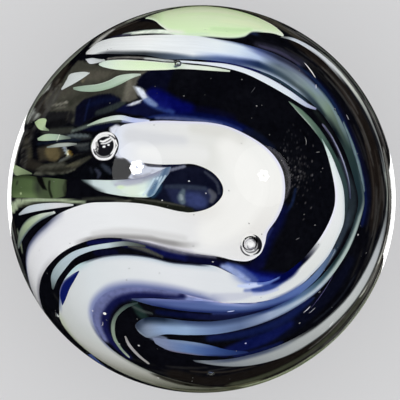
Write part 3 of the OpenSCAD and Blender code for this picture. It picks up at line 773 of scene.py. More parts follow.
def paint_outer_arc(brush):
    brush.along((0, (74, 78, 74)), (1, (196, 203, 212)), (2, (206, 211, 217)), (3, (210, 214, 217)),
                (4, (207, 211, 211)), (5, (205, 208, 201)), (6, (165, 168, 163)), (7, (131, 134, 133)),
                (8, (138, 142, 140)), (9, (150, 156, 153)), (10, (126, 131, 130)), (11, (110, 114, 114)),
                (12, (142, 147, 150)), (13, (180, 184, 187)), (15, (188, 192, 191)), (17, (169, 173, 172)),
                (19, (152, 157, 158)), (20.5, (132, 138, 143)), (21.4, (122, 128, 134)), (22, (66, 72, 80)))
    brush.second_edge(1.3, (146, 152, 160), (0.4, 1, 1.8, 2.6))
    brush.second_edge(2.4, (188, 196, 182), (3.4, 4.4, 5.4, 6.4), 0.8)
    brush.first_edge(1.2, (112, 115, 120), (2, 2.8, 3.4, 4.2))
    brush.first_edge(1.3, (24, 25, 29), (3.4, 4.8, 8, 9.4), 1, 1)
    brush.first_edge(1.3, (18, 19, 22), (8.6, 10, 16.6, 18.4), 1, 0.6)
    brush.first_edge(2.4, (70, 78, 98), (17.4, 18.6, 20.4, 21.6), 1, 0.6)
    brush.second_edge(1.2, (70, 74, 72), (11.6, 12.8, 17.6, 18.6), 1, 0.5)
    brush.second_edge(0.9, (84, 88, 86), (5.8, 7, 8, 8.8))
    brush.stroke([(72, 10, 0.1), (73.2, 3, 0.2), (72.8, -4, 0.1)], (150, 156, 148), 0.7, 0.9)


def painted(stops, *edges):
    """A painter that runs from stop to stop and fades into the edges. An edge says 1 or 2 for which it is,
    then how far in it reaches, its colour and its four rows."""
    def paint(brush):
        brush.along(*stops)
        for which, reach, colour, rows in edges:
            (brush.first_edge if which == 1 else brush.second_edge)(reach, colour, rows)
    return paint


def paint_crown(brush):
    brush.along((0, (120, 128, 104)), (1, (180, 196, 156)), (2, (208, 232, 184)), (4, (212, 243, 190)),
                (7, (213, 243, 190)), (9, (206, 233, 184)), (10, (226, 240, 216)))
    brush.second_edge(9, (196, 226, 168), (1.5, 3, 7, 8.5), 0.8)
    brush.second_edge(2, (178, 196, 146), (2, 3, 6, 7.5), 0.9)
    brush.first_edge(3, (222, 242, 212), None, 0.8)
    brush.first_edge(0.9, (26, 30, 56), (3.8, 4.6, 7, 8))
    brush.stroke([(-19, 66, 1), (-15, 60.5, 1.4), (-8, 59, 0.6)], (230, 240, 222), 2.6, 0.9)
    brush.second_edge(1.4, (222, 240, 208), (7.5, 8.2, 10, 10.5), 0.8)
    brush.stroke([(4, 61.6, 0.3), (12, 61.4, 0.6), (18, 63, 0.2)], (190, 216, 168), 1.6, 0.6)
    brush.stroke([(-8, 72, 0.3), (4, 73, 0.5), (16, 71, 0.2)], (204, 230, 178), 2, 0.6)
    brush.stroke([(8, 67, 0.5), (16, 67, 0.8), (22, 66, 0.4)], (216, 246, 190), 2, 0.8)
    brush.stroke([(-14, 60, 0.1), (-6, 58.4, 0.3), (2, 58.6, 0.1)], (196, 216, 190), 0.8, 0.5)


def paint_mint_band(brush):
    brush.along((0, (200, 216, 202)), (1, (210, 225, 212)), (2, (221, 237, 210)), (3, (221, 241, 203)),
                (4, (216, 236, 200)), (5, (198, 212, 194)), (6, (224, 233, 224)), (7, (222, 234, 214)),
                (8, (200, 212, 194)))
    brush.first_edge(0.8, (236, 246, 230), (1, 2, 4, 5))
    brush.second_edge(0.7, (236, 244, 222), (2, 3, 4, 5), 0.8)
    brush.spot((-8.4, 43.1), (0.9, 0.7), (70, 92, 92), 0, 0.8)


def paint_olive(brush):
    brush.along((0, (66, 82, 54)), (1, (70, 88, 56)), (2.6, (78, 96, 62)), (3.1, (48, 54, 44)),
                (3.4, (62, 72, 52)), (4.2, (80, 96, 66)), (4.7, (74, 86, 62)), (5, (20, 22, 18)))
    brush.second_edge(3.4, (102, 122, 82), (0.5, 1.2, 2.8, 3.6), 0.8)
    brush.first_edge(2, (38, 46, 30), (0, 0.4, 3, 3.6), 0.8)
    brush.patch([(-59.4, 8.6), (-56, 8.2), (-52.4, 3), (-54.6, 3.4), (-57.3, 6)], (10, 10, 10), 0.9)
    brush.stroke([(-51.6, 5.8, 0.2), (-51.4, 3.4, 0.2), (-50.6, 0.8, 0.2)], (24, 28, 20), 0.7, 0.9)
    brush.spot((-72, 6.3), (2, 1.4), (44, 52, 38), 30, 0.9, 0.9)
    brush.first_edge(9, (150, 160, 130), (-1, -0.5, 0.1, 0.5))
    brush.spot((-68.6, 2.1), (1.3, 0.7), (168, 184, 140), 10, 0.8)
    brush.spot((-44.6, 3.6), (1.6, 2.2), (50, 58, 42), 0, 0.8, 0.7)


def paint_wedge(brush):
    brush.along((0, (60, 74, 74)), (0.6, (120, 132, 134)), (1, (198, 212, 214)), (2, (212, 226, 224)),
                (2.7, (218, 232, 216)), (3.3, (214, 230, 222)), (4, (150, 178, 196)), (5, (84, 108, 138)),
                (6, (120, 134, 158)))
    # A grey-violet band along the top edge: painted shade
    brush.first_edge(2.8, (132, 136, 158), (1.8, 2.6, 4.2, 5))
    brush.stroke([(-26, 4.4, 0.1), (-22, 4.8, 0.3), (-18, 5.4, 0.1)], (170, 174, 190), 0.8, 0.8)
    brush.second_edge(1.8, (14, 18, 20), (-1, 0, 0.8, 1.6))
    brush.patch([(-43, 6.4), (-38.9, 5.2), (-33.2, 2), (-35.2, 2.6), (-39, 4)], (6, 7, 9), 0.7)
    brush.spot((-24.4, 3.6), (2, 1), (206, 226, 188), 0, 0.9)
    brush.spot((-17.4, 1.6), (2.4, 1.2), (232, 250, 238), 10, 0.9)
    for shift in (0, 1.1, 2.2, 3.3):
        brush.stroke([(-17.4 + shift, 1.2 + shift / 3, 0.05), (-15.6 + shift, 3.2 + shift / 3, 0.12),
                      (-14 + shift, 6 + shift / 4, 0.05)], (200, 220, 232), 0.4, 0.8)
    brush.stroke([(-15.6, 1.2, 0.2), (-14.4, 3, 0.4), (-13.4, 5, 0.2)], (70, 100, 132), 0.9, 0.8)


white = opal("white_opal", 0.05, 0.03)
mint = opal("mint_opal", 0.1, 0.05)
blue = opal("blue_opal", 0.24, 0.06)

# Name, route, layer, side, columns along, lanes across, painter
WHITE_RIBBONS = [
    ("hook", HOOK, 0, 1, 440, 30, paint_hook),
    ("sweep", SWEEP, 1, 1, 380, 30, paint_sweep),
    ("outer_arc", OUTER_ARC, 1, 1, 240, 14, paint_outer_arc),
    ("high_line", HIGH_LINE, 2, 1, 90, 8, painted(
        ((0, (222, 230, 240)), (3, (226, 233, 240)), (5, (216, 224, 232)), (6, (182, 190, 212)),
         (7, (130, 132, 170))),
        (1, 0.5, (150, 160, 200), (2, 3, 6, 7)))),
    ("curl_line", CURL_LINE, 2, 1, 40, 6,
     painted(((0, (140, 138, 136)), (1, (160, 158, 160)), (3, (150, 148, 146))))),
    ("window_flag", WINDOW_FLAG, 3, 1, 40, 14, painted(
        ((0, (194, 199, 198)), (2, (204, 210, 208)), (4, (198, 203, 200))),
        (1, 1, (184, 188, 184), (0, 1, 3, 4)))),
    ("window_chip", WINDOW_CHIP, 3, 1, 40, 10,
     painted(((0, (196, 200, 202)), (1, (204, 208, 212)), (3, (180, 186, 184))))),
    ("brow_line", BROW_LINE, 1, 1, 60, 8, painted(
        ((0, (150, 165, 150)), (1, (190, 205, 186)), (2, (215, 225, 225)), (3, (186, 196, 236)),
         (4, (200, 208, 236))))),
    ("rim_sliver", RIM_SLIVER, 2, 1, 60, 8, painted(
        ((0, (160, 168, 175)), (1, (190, 198, 205)), (2, (200, 208, 212)), (3, (214, 215, 218)),
         (4, (204, 208, 208))))),
    ("back_swirl", BACK_SWIRL, 1, -1, 200, 18, painted(
        ((0, (190, 196, 190)), (2, WHITE), (5, (240, 241, 239)), (7, (214, 218, 222)), (10, (120, 124, 120))),
        (2, 5, (130, 140, 190), (1, 3, 6, 8)), (1, 2.5, (214, 228, 206), (3, 4, 7, 9)),
        (2, 1.6, (50, 54, 110), (1, 3, 6, 8)))),
    ("back_arc", BACK_ARC, 1, -1, 80, 10, painted(
        ((0, (80, 84, 78)), (2, (110, 112, 106)), (4, (108, 112, 106)), (6, (80, 86, 80))),
        (2, 1.6, (120, 128, 110), (1, 2, 4, 5)))),
]
MINT_RIBBONS = [
    ("crown", CROWN, 2, 1, 160, 30, paint_crown),
    ("mint_band", MINT_BAND, 1, 1, 120, 12, paint_mint_band),
    ("green_edge", GREEN_EDGE, 2, 1, 100, 10, painted(
        ((0, (112, 130, 116)), (1, (96, 120, 102)), (2, (90, 112, 98)), (3, (72, 94, 84)), (4, (50, 70, 65)),
         (6, (46, 62, 66)), (8, (38, 46, 52))), (1, 0.5, (150, 166, 156), (0, 1, 2, 3)),
        (2, 0.8, (56, 76, 70), (0, 1, 4, 5)))),
    ("green_curl", GREEN_CURL, 2, 1, 90, 8, painted(
        ((0, (45, 60, 60)), (1, (74, 88, 84)), (2, (96, 110, 100)), (3, (126, 140, 126)),
         (4, (130, 145, 130)), (5, (124, 138, 124)), (6, (160, 170, 156))),
         (1, 0.5, (40, 46, 50), (0, 1, 4, 5)))),
    ("wedge", WEDGE, 1, 1, 120, 24, paint_wedge),
    ("window_wave", WINDOW_WAVE, 3, 1, 80, 12, painted(
        ((0, (140, 158, 140)), (1, (156, 176, 158)), (3, (168, 190, 170)), (5, (192, 208, 192)),
         (6, (180, 190, 180))),
        (2, 1, (150, 172, 150), (1, 2, 4, 5)), (1, 0.8, (206, 222, 206), (1, 2, 4, 5)))),
    ("side_leaf", SIDE_LEAF, 3, 1, 40, 10, painted(
        ((0, (150, 172, 145)), (1, (175, 195, 165)), (2, (165, 185, 165)), (3, (90, 100, 95))))),
    ("side_sliver", SIDE_SLIVER, 3, 1, 40, 8, painted(
        ((0, (110, 120, 115)), (1, (165, 172, 165)), (2, (170, 178, 170)), (3, (120, 125, 122))))),
    ("side_drop", SIDE_DROP, 3, 1, 40, 12, painted(
        ((0, (150, 168, 130)), (1, (176, 196, 152)), (2.6, (178, 198, 158)), (4, (120, 136, 110))))),
    ("rim_leaf", RIM_LEAF, 1, 1, 70, 12, painted(
        ((0, (84, 92, 88)), (1, (128, 142, 122)), (2, (158, 174, 142)), (3, (184, 196, 176)),
         (4, (196, 202, 200))),
        (1, 1.2, (70, 78, 78), (0, 0.6, 2, 3)), (2, 1, (84, 96, 104), (0, 0.6, 3, 4)))),
    ("olive_patch", OLIVE_PATCH, 3, 1, 140, 24, paint_olive),
    ("pale_fin", PALE_FIN, 2, 1, 40, 10, painted(
        ((0, (155, 172, 135)), (1, (150, 166, 130)), (2, (126, 142, 108)), (3, (106, 120, 92))))),
    ("rim_line", RIM_LINE, 2, 1, 140, 8, painted(
        ((0, (200, 200, 185)), (1, (180, 180, 150)), (2, (165, 180, 140)), (3, (160, 180, 135)),
         (4, (150, 170, 130)), (5, (150, 160, 120)), (6, (130, 135, 100)), (7, (90, 95, 70)),
         (8, (85, 90, 65))))),
    ("back_leaf", BACK_LEAF, 2, -1, 120, 14, painted(
        ((0, (120, 140, 108)), (2, (206, 232, 184)), (5, (214, 240, 192)), (8, (110, 132, 104))),
        (2, 3, (170, 196, 140), (1, 2, 6, 7)))),
]
BLUE_RIBBONS = [
    ("long_band", LONG_BAND, 1, 1, 420, 28, paint_long_band),
    ("low_streak", LOW_STREAK, 2, 1, 100, 16, painted(
        ((0, (118, 128, 152)), (1, (116, 128, 160)), (2, (92, 118, 164)), (3, (62, 84, 136)),
         (4, (38, 58, 108)), (5, (25, 35, 80))), (1, 2, (116, 134, 166), (1, 1.6, 2.4, 3.4)),
         (2, 1.4, (112, 108, 128), (0.6, 1.2, 2.2, 3)),
        (2, 1.6, (40, 50, 90), (2.6, 3.2, 4, 5)))),
    ("mid_streak", MID_STREAK, 2, 1, 160, 12, painted(
        ((0, (60, 70, 96)), (1, (70, 84, 132)), (2, (80, 96, 148)), (3, (84, 102, 154)), (4, (86, 106, 158)),
         (5, (82, 102, 152)), (6, (76, 96, 150)), (7, (85, 108, 165)), (8, (90, 112, 150)),
         (9, (70, 85, 105))),
        (1, 1, (104, 114, 168), (0.4, 1, 2.4, 3.2)), (1, 1.2, (140, 152, 200), (3, 3.8, 4.6, 5.6)),
        (2, 2, (30, 42, 92), (0.6, 1.4, 6, 7)))),
    ("cobalt_sliver", COBALT_SLIVER, 0, 1, 50, 10, painted(
        ((0, (12, 22, 85)), (4, (12, 22, 85))), (1, 0.8, (110, 115, 150), (0, 1, 3, 4)))),
    ("gap_streak", GAP_STREAK, 2, 1, 110, 10, painted(
        ((0, (70, 80, 80)), (1, (140, 155, 160)), (2, (165, 180, 185)), (3, (180, 195, 205)),
         (4, (190, 205, 215)), (5, (192, 206, 210)), (6, (110, 120, 118)), (7, (62, 66, 60))))),
    ("lilac_line", LILAC_LINE, 2, 1, 80, 6, painted(
        ((0, (120, 120, 150)), (2, (160, 164, 190)), (3, (130, 140, 165)), (4, (50, 56, 80))),
        (1, 0.45, (30, 30, 44), (0, 1, 3, 4)), (2, 0.45, (20, 26, 34), (0, 1, 3, 4)))),
    ("back_band", BACK_BAND, 2, -1, 120, 16, painted(
        ((0, (90, 106, 150)), (2, (150, 176, 216)), (4, (130, 152, 204)), (7, (60, 76, 130))),
        (1, 3.4, (214, 224, 238), (1, 2, 4, 5)), (2, 3, (44, 58, 120), (1, 2, 5, 6)))),
]
for glass, finish, ribbons in (("white_glass", white, WHITE_RIBBONS), ("mint_glass", mint, MINT_RIBBONS),
                               ("blue_glass", blue, BLUE_RIBBONS)):
    for name, rows, layer, side, columns, lanes, paint in ribbons:
        ribbon = laid_ribbon(name, rows, layer, side, columns, lanes, paint)
        finished(without_shade(ribbon), finish, glass, glass)


# The share of the heart's rings that lie on its face, and how much of their spacing opens towards its rim
FACE_RINGS = 0.8
RINGS_APART = 0.55
# The steps beyond the rim over which the face's paint gives way to the back's
RIM_BLEND = 6


def dark_heart():
    """The heart: a ball with its round hollow, finest on the face half, and painted all over."""
    piece = added("dark_heart_body", bpy.ops.mesh.primitive_uv_sphere_add,
                  segments=430, ring_count=230, radius=HEART_R * MM)
    points = points_of(piece) / MM
    share = np.arccos(np.clip(points[:, 2] / HEART_R, -1, 1)) / math.pi
    on_face = np.minimum(share / FACE_RINGS, 1)
    steps = RIM_STEPS * ((1 - RINGS_APART) * on_face + RINGS_APART * np.arcsin(on_face) / (math.pi / 2))
    rim = float(sink(RIM_STEPS, HEART_R))
    polar = np.where(share < FACE_RINGS, sink(steps, HEART_R),
                     rim + (share - FACE_RINGS) / (1 - FACE_RINGS) * (math.pi - rim))
    turn = np.arctan2(points[:, 1], points[:, 0])
    outward = np.stack([np.sin(polar) * np.cos(turn), np.sin(polar) * np.sin(turn), np.cos(polar)], axis=-1)
    hollow = aim(*WINDOW, HEART_R) * (HEART_R - WINDOW_DEPTH + WINDOW_R)
    toward = outward @ hollow
    inside = toward**2 - hollow @ hollow + WINDOW_R**2
    near_wall = toward - np.sqrt(np.maximum(inside, 0))
    reach = np.where((inside > 0) & (toward > 0), np.minimum(near_wall, HEART_R), HEART_R)
    points = outward * reach[:, None]
    place_points(piece, points * MM)

    face = Paint(*chart(points), BLACK)
    paint_face(face)
    back = Paint(*chart(points, -1), BLACK)
    paint_back(back)
    face.lay(back.shade, ease((face.steps - RIM_STEPS) / RIM_BLEND))
    face.steps = np.where(face.steps < RIM_STEPS, face.steps, back.steps)
    set_tint(piece, face)
    bpy.ops.object.shade_smooth()
    return piece


# Pulls of the brush on the heart: colour, how far it fades out and strength. Then come a stroke's rows of
# across, up and half width, or a patch's corners
WINDOW_FIELDS = [
    ((60, 60, 52), 0.9, 1, (-58.5, 33), (-61, 39), (-57.5, 42), (-54, 44), (-52, 50), (-49, 55), (-39, 49.5),
     (-32, 46), (-17.5, 43), (-20.5, 38.6), (-24, 35), (-25, 30.5), (-28.5, 28.4), (-35.5, 27), (-41, 24),
     (-45, 26.6), (-45.5, 30.5), (-51, 31.2)),
    ((78, 75, 66), 1.6, 0.9, (-44, 47.6), (-36, 45.8), (-28.5, 43.2), (-35, 40.8), (-43.5, 42.4)),
    ((70, 68, 60), 1.2, 0.8, (-59, 38.6), (-54, 42.4), (-47, 40.6), (-44, 37.6), (-50, 36.6)),
    ((50, 50, 43), 1.4, 0.8, (-56, 35), (-46, 36), (-38, 37.4), (-33, 36.4), (-41, 34.8), (-46, 32.6),
     (-55, 32.6)),
    ((36, 32, 27), 0.9, 1, (-66.5, 31), (-69, 36), (-72, 44), (-68, 56), (-54.5, 57), (-53.6, 44),
     (-57.5, 42), (-61, 39), (-58.4, 33), (-62, 30.6)),
    ((74, 70, 62), 0.7, 0.9, (-62.6, 37.6, 0.1), (-60, 42.4, 0.3), (-56.6, 47.6, 0.15)),
    ((84, 82, 74), 0.6, 0.9, (-58.6, 34, 0.1), (-60.8, 39, 0.3), (-57.4, 42.2, 0.2), (-54, 44.4, 0.1)),
    ((24, 18, 14), 0.8, 0.9, (-56.8, 44, 0.2), (-55.2, 47.6, 0.6), (-52.6, 53.6, 0.4)),
    ((22, 18, 15), 0.8, 0.9, (-65, 36, 0.2), (-64.4, 40.4, 0.6), (-60.6, 46.6, 0.3)),
    ((62, 56, 46), 0.6, 0.8, (-66.6, 34, 0.1), (-66.8, 40, 0.3), (-63.4, 46, 0.1)),
    # These greys and whites along the left rim, down to the line at (-72.6, 34), are painted reflection of
    # the surroundings
    ((132, 134, 126), 1.1, 0.9, (-62, 57.4, 0.3), (-57, 62, 0.6), (-50, 66.4, 0.3)),
    ((168, 172, 166), 0.9, 1, (-69.6, 43.4), (-73, 49), (-67.4, 50.4), (-62, 49.2), (-62.4, 44.8),
     (-65.6, 43.4)),
    ((190, 193, 190), 0.9, 0.9, (-68, 46.6, 0.3), (-65, 47.6, 0.6)),
    ((150, 154, 148), 0.9, 1, (-75, 33), (-75.6, 38), (-75, 43), (-71, 38.4), (-67, 35.4), (-62.6, 33),
     (-63, 31.6), (-67.5, 31.2), (-71, 31)),
    ((196, 198, 195), 1, 0.9, (-72.6, 34, 0.3), (-72.4, 38, 0.8), (-72, 41, 0.3)),
    ((108, 100, 80), 0.5, 1, (-42.8, 42.4, 0.2), (-42.2, 42.5, 0.3)),
    ((5, 6, 23), 0.9, 1, (-43.5, 31.8), (-40.5, 34.4), (-34.6, 35.3), (-30, 35), (-26.2, 32.6), (-25, 30.3),
     (-28.3, 28.4), (-35.5, 27), (-41, 24), (-43.2, 25.3)),
    ((8, 14, 43), 1.8, 0.9, (-39.6, 32), (-34.3, 34), (-28.6, 33.4), (-27, 32), (-33, 31.6), (-38.6, 30.4)),
    ((5, 6, 24), 0.5, 0.8, (-41.8, 26, 0.1), (-41, 30, 0.3), (-40.4, 33, 0.1)),
    ((20, 30, 66), 0.4, 0.7, (-39, 26, 0.05), (-38.6, 30, 0.15), (-38, 34, 0.05)),
    ((46, 54, 52), 1, 0.9, (-34.4, 28.4, 0.3), (-31, 29, 0.6), (-27.5, 30, 0.6), (-25, 31, 0.3)),
    ((22, 22, 23), 0.9, 1, (-58, 32.5), (-51.2, 31.3), (-45.4, 30.7), (-43.4, 29), (-44.8, 26.4), (-50, 25),
     (-55.3, 26.2), (-57.6, 28)),
    ((8, 8, 9), 1.4, 0.9, (-56, 27, 0.4), (-52, 26.6, 1), (-47.6, 27, 0.6)),
    ((48, 46, 42), 0.4, 0.8, (-46.6, 27, 0.05), (-46.4, 29.6, 0.2), (-46, 31, 0.05)),
    ((120, 118, 108), 0.5, 0.95, (-55.4, 34.8, 0.1), (-51.5, 34.6, 0.25), (-48, 34.4, 0.15)),
    ((92, 90, 82), 0.5, 0.9, (-54, 33.2, 0.1), (-50.6, 33, 0.25), (-48, 32.8, 0.1)),
    ((150, 148, 138), 0.4, 0.9, (-49.6, 34.9, 0.05), (-48.4, 34.6, 0.15)),
    ((52, 54, 48), 1.4, 0.9, (-58, 24.6, 0.3), (-50, 23.6, 0.6), (-44, 23.4, 0.4)),
    ((96, 106, 100), 0.8, 0.9, (-43.6, 22.9, 0.1), (-38, 23.9, 0.3), (-33, 24.7, 0.35), (-28, 25, 0.3),
     (-23.6, 24.9, 0.2)),
    ((7, 10, 34), 0.7, 1, (-39.4, 22.9), (-35, 24), (-29, 24.3), (-26.6, 23.6), (-31.3, 22.2), (-35, 21.9)),
    ((46, 50, 50), 1, 0.9, (-47, 21.9), (-41.5, 21.8), (-36, 20.8), (-35, 19.6), (-39, 19.3), (-45, 19.2)),
    ((88, 98, 100), 0.6, 0.9, (-45, 21.4, 0.1), (-41.4, 21.1, 0.3), (-37, 20.6, 0.1)),
    ((12, 20, 34), 0.6, 0.9, (-60, 20.4, 0.1), (-52, 19.9, 0.35), (-45, 20, 0.3), (-40, 19.4, 0.1)),
    ((40, 44, 46), 0.9, 1, (-43, 18.4), (-36.5, 18.3), (-36, 15.6), (-40, 15.6)),
    ((70, 74, 74), 0.5, 0.8, (-42, 17.7, 0.1), (-39, 17.5, 0.2), (-36.6, 17.8, 0.1)),
    ((50, 46, 36), 1.6, 1, (-60, 18.6), (-50, 19), (-45.6, 17.6), (-45.6, 14.6), (-49, 13.6), (-58, 13.6)),
    ((92, 82, 56), 1.4, 1, (-54, 17, 0.9), (-51.4, 16, 2), (-50, 15, 1.4)),
    ((62, 60, 46), 1.6, 0.9, (-68, 23, 0.3), (-66, 19, 1), (-64, 15.6, 0.4)),
    ((30, 29, 24), 0.9, 0.9, (-73.4, 27, 0.2), (-72, 22, 0.6), (-71, 17, 0.3)),
    ((70, 68, 56), 0.6, 0.8, (-70.4, 28, 0.1), (-69.6, 24, 0.3), (-69.4, 20, 0.1)),
    ((26, 24, 20), 0.8, 0.9, (-67.6, 28.6, 0.2), (-66.6, 25, 0.5), (-66, 22, 0.2)),
    ((40, 37, 30), 1.6, 0.9, (-70, 14.6, 0.6), (-63, 12.8, 1.2), (-57, 11.2, 0.8)),
    # Painted reflection of the surroundings along the left rim
    ((128, 128, 120), 1.4, 0.9, (-74.8, 29, 0.2), (-76, 23, 0.6), (-77, 18, 0.7), (-77.6, 14, 0.4)),
    # A small painted glint with its tail
    ((236, 234, 190), 0.6, 1, (-45, 15.8, 0.3), (-44.4, 15, 0.35)),
    ((150, 165, 180), 0.5, 0.9, (-46.8, 17.9, 0.1), (-45.8, 16.6, 0.25), (-45.2, 15.6, 0.1)),
    ((120, 96, 34), 0.6, 0.9, (-44.2, 15.6, 0.2), (-43.2, 14.6, 0.4)),
    ((54, 54, 46), 0.8, 1, (-60.4, 10.6), (-55.3, 12.1), (-48.3, 12.7), (-41, 14.6), (-35.6, 14.8),
     (-35, 13.1), (-36.9, 12), (-40.7, 9.9), (-46.4, 8.5), (-55.3, 8.8)),
    ((7, 7, 8), 0.6, 1, (-46.4, 12.3), (-41, 14.3), (-35.6, 15.2), (-35, 14), (-40, 12.8), (-44, 11.4)),
    ((92, 96, 92), 0.5, 0.9, (-48, 12.8, 0.1), (-45.4, 13.6, 0.2), (-43.4, 14.4, 0.1)),
    ((82, 80, 64), 0.6, 0.9, (-45, 10.5, 0.1), (-42.4, 11.1, 0.4), (-39.4, 11.8, 0.1)),
    ((74, 74, 64), 0.5, 0.8, (-57, 11.6, 0.1), (-51, 11.3, 0.2), (-46, 11.6, 0.1)),
    ((36, 36, 30), 0.6, 0.9, (-56, 9.8, 0.1), (-49, 9.6, 0.3), (-43, 10.3, 0.1)),
    ((88, 90, 78), 0.4, 0.9, (-60, 9.2, 0.05), (-53, 8.7, 0.12), (-46.4, 8.4, 0.12), (-41, 9.7, 0.05)),
    ((2, 3, 6), 0.7, 1, (-50, 7.7, 0.3), (-42, 7.7, 0.5), (-36, 8.4, 1.2), (-32, 9, 1.6), (-27, 9, 1.6),
     (-23, 9, 1)),
    ((46, 52, 64), 0.7, 0.9, (-31, 10.6, 0.2), (-29.2, 9.2, 0.5), (-28, 8, 0.1)),
    ((50, 54, 70), 0.6, 0.9, (-33.4, 9.4, 0.1), (-32, 8, 0.35), (-32.4, 6.8, 0.1)),
    ((30, 34, 44), 0.5, 0.8, (-35.4, 10, 0.1), (-34.6, 8.4, 0.2)),
    ((212, 216, 228), 0.8, 1, (-29.2, 22.6), (-27, 23.6), (-24, 22.4), (-24, 12.4), (-25.8, 12.6),
     (-27.5, 14)),
    ((86, 84, 75), 0.9, 1, (-25, 38.4), (-24, 40.6), (-17.6, 42.8), (-19.6, 40.4), (-21.4, 37), (-20.6, 33.4),
     (-20.4, 32), (-23, 31), (-25.8, 31.4)),
    ((110, 107, 96), 1, 0.7, (-23.8, 39, 0.2), (-23.6, 36, 0.6), (-24, 32.6, 0.2)),
    ((3, 4, 22), 0.9, 1, (-21.2, 38.4), (-19.8, 40.8), (-17, 42.6), (-9, 42), (-11, 35), (-15, 33),
     (-20.6, 36.6)),
    ((2, 5, 82), 2.6, 1, (-15.6, 34, 0.3), (-13.4, 32, 1.4), (-9, 29.4, 1.2), (-4, 28, 0.4)),
    ((8, 12, 46), 0.7, 1, (-28, 28.2), (-24.6, 30.2), (-20, 30.6), (-18, 31.2), (-15, 28.8), (-11, 26.6),
     (-16, 25.6), (-22, 26.6)),
    ((44, 66, 128), 1.4, 0.9, (-18, 31.6, 0.1), (-15.2, 29.8, 0.5), (-12.4, 28.2, 0.3), (-9, 26.8, 0)),
    ((10, 16, 96), 2, 0.8, (-17, 33, 0.3), (-14, 31, 0.6), (-11, 29, 0.3)),
    ((120, 140, 184), 1, 0.95, (-18.2, 32.6, 0.4), (-16.4, 30.8, 0.5), (-14.4, 29.4, 0.2)),
    ((220, 228, 240), 0.9, 1, (-22, 36.8), (-20, 36.2), (-18.4, 34.9), (-17.2, 32.2), (-18.4, 31.6),
     (-20.2, 33.4)),
    ((208, 212, 224), 0.5, 1, (-24, 29.8), (-21.6, 30.9), (-18.8, 31.6), (-19.6, 30.4), (-22, 29.6)),
    ((150, 160, 205), 0.9, 0.9, (-24.6, 24.6, 0.1), (-21, 24.3, 0.2), (-17.6, 24.4, 0.2)),
]
MOUTH_FIELDS = [
    ((206, 212, 228), 0.7, 1, (-24, 13.2), (-17.4, 11.3), (-15.2, 10.2), (-11, 9.9), (-9, 9.6), (-12.7, 8.2),
     (-15.8, 6.6), (-19.9, 5.6), (-22.4, 6.4), (-20.6, 8.6), (-21.4, 10.6)),
    # A grey band under the pale mass: painted shade
    ((150, 152, 168), 0.8, 0.8, (-20.6, 6.8, 0.1), (-18, 6.6, 0.3), (-15.6, 7.4, 0.1)),
    ((12, 14, 40), 0.35, 1, (-17.6, 11.3, 0.1), (-16.4, 10.5, 0.35), (-15.2, 10, 0.15), (-13, 9.8, 0.1),
     (-9, 9.9, 0.25), (-5, 10.5, 0.15)),
    ((14, 18, 50), 0.5, 1, (-13.2, 7.2), (-11.1, 8.9), (-7.1, 9.6), (-5, 9.8), (-9.6, 8.3)),
    ((112, 116, 134), 0.5, 0.95, (-12.9, 6.9, 0.1), (-9.6, 8.5, 0.25), (-5, 9.7, 0.15)),
]
NOTCH_FIELDS = [
    ((225, 240, 220), 1, 1, (-8, 58.6, 0.2), (-13, 60.8, 0.7), (-20, 62.2, 0.7), (-30, 63.4, 0.3)),
    ((24, 20, 16), 1.2, 1, (-15.3, 64.4, 0.2), (-19, 66, 1.6), (-24, 68, 2.6), (-30, 68, 3), (-36, 67, 2)),
    ((40, 38, 60), 1, 0.8, (-36, 63.2, 0.4), (-31, 63, 0.6), (-27, 62.4, 0.2)),
    ((70, 62, 52), 0.9, 0.8, (-36, 69.6, 0.2), (-31, 71.4, 0.3), (-26, 73, 0.1)),
    ((100, 98, 90), 2, 0.9, (-44, 68, 1), (-37, 73, 1.4), (-25, 78.6, 1)),
    ((190, 190, 184), 1.6, 0.9, (-44, 62.6, 0.6), (-41, 67, 1), (-37.6, 71, 0.3)),
    ((140, 145, 130), 2.2, 0.9, (-31, 77, 0.6), (-24, 80, 1), (-16, 82.6, 0.6)),
    ((150, 165, 125), 3, 0.85, (-15, 86.5, 0.8), (-6, 88, 1), (5, 87.6, 0.8)),
    ((92, 90, 74), 2, 0.8, (5, 87, 0.8), (16, 84.6, 1.2), (26, 80, 1), (33, 75, 0.6)),
    ((68, 64, 54), 2.4, 0.8, (26, 76.4, 0.8), (33, 70.4, 1), (40, 64, 0.6)),
]
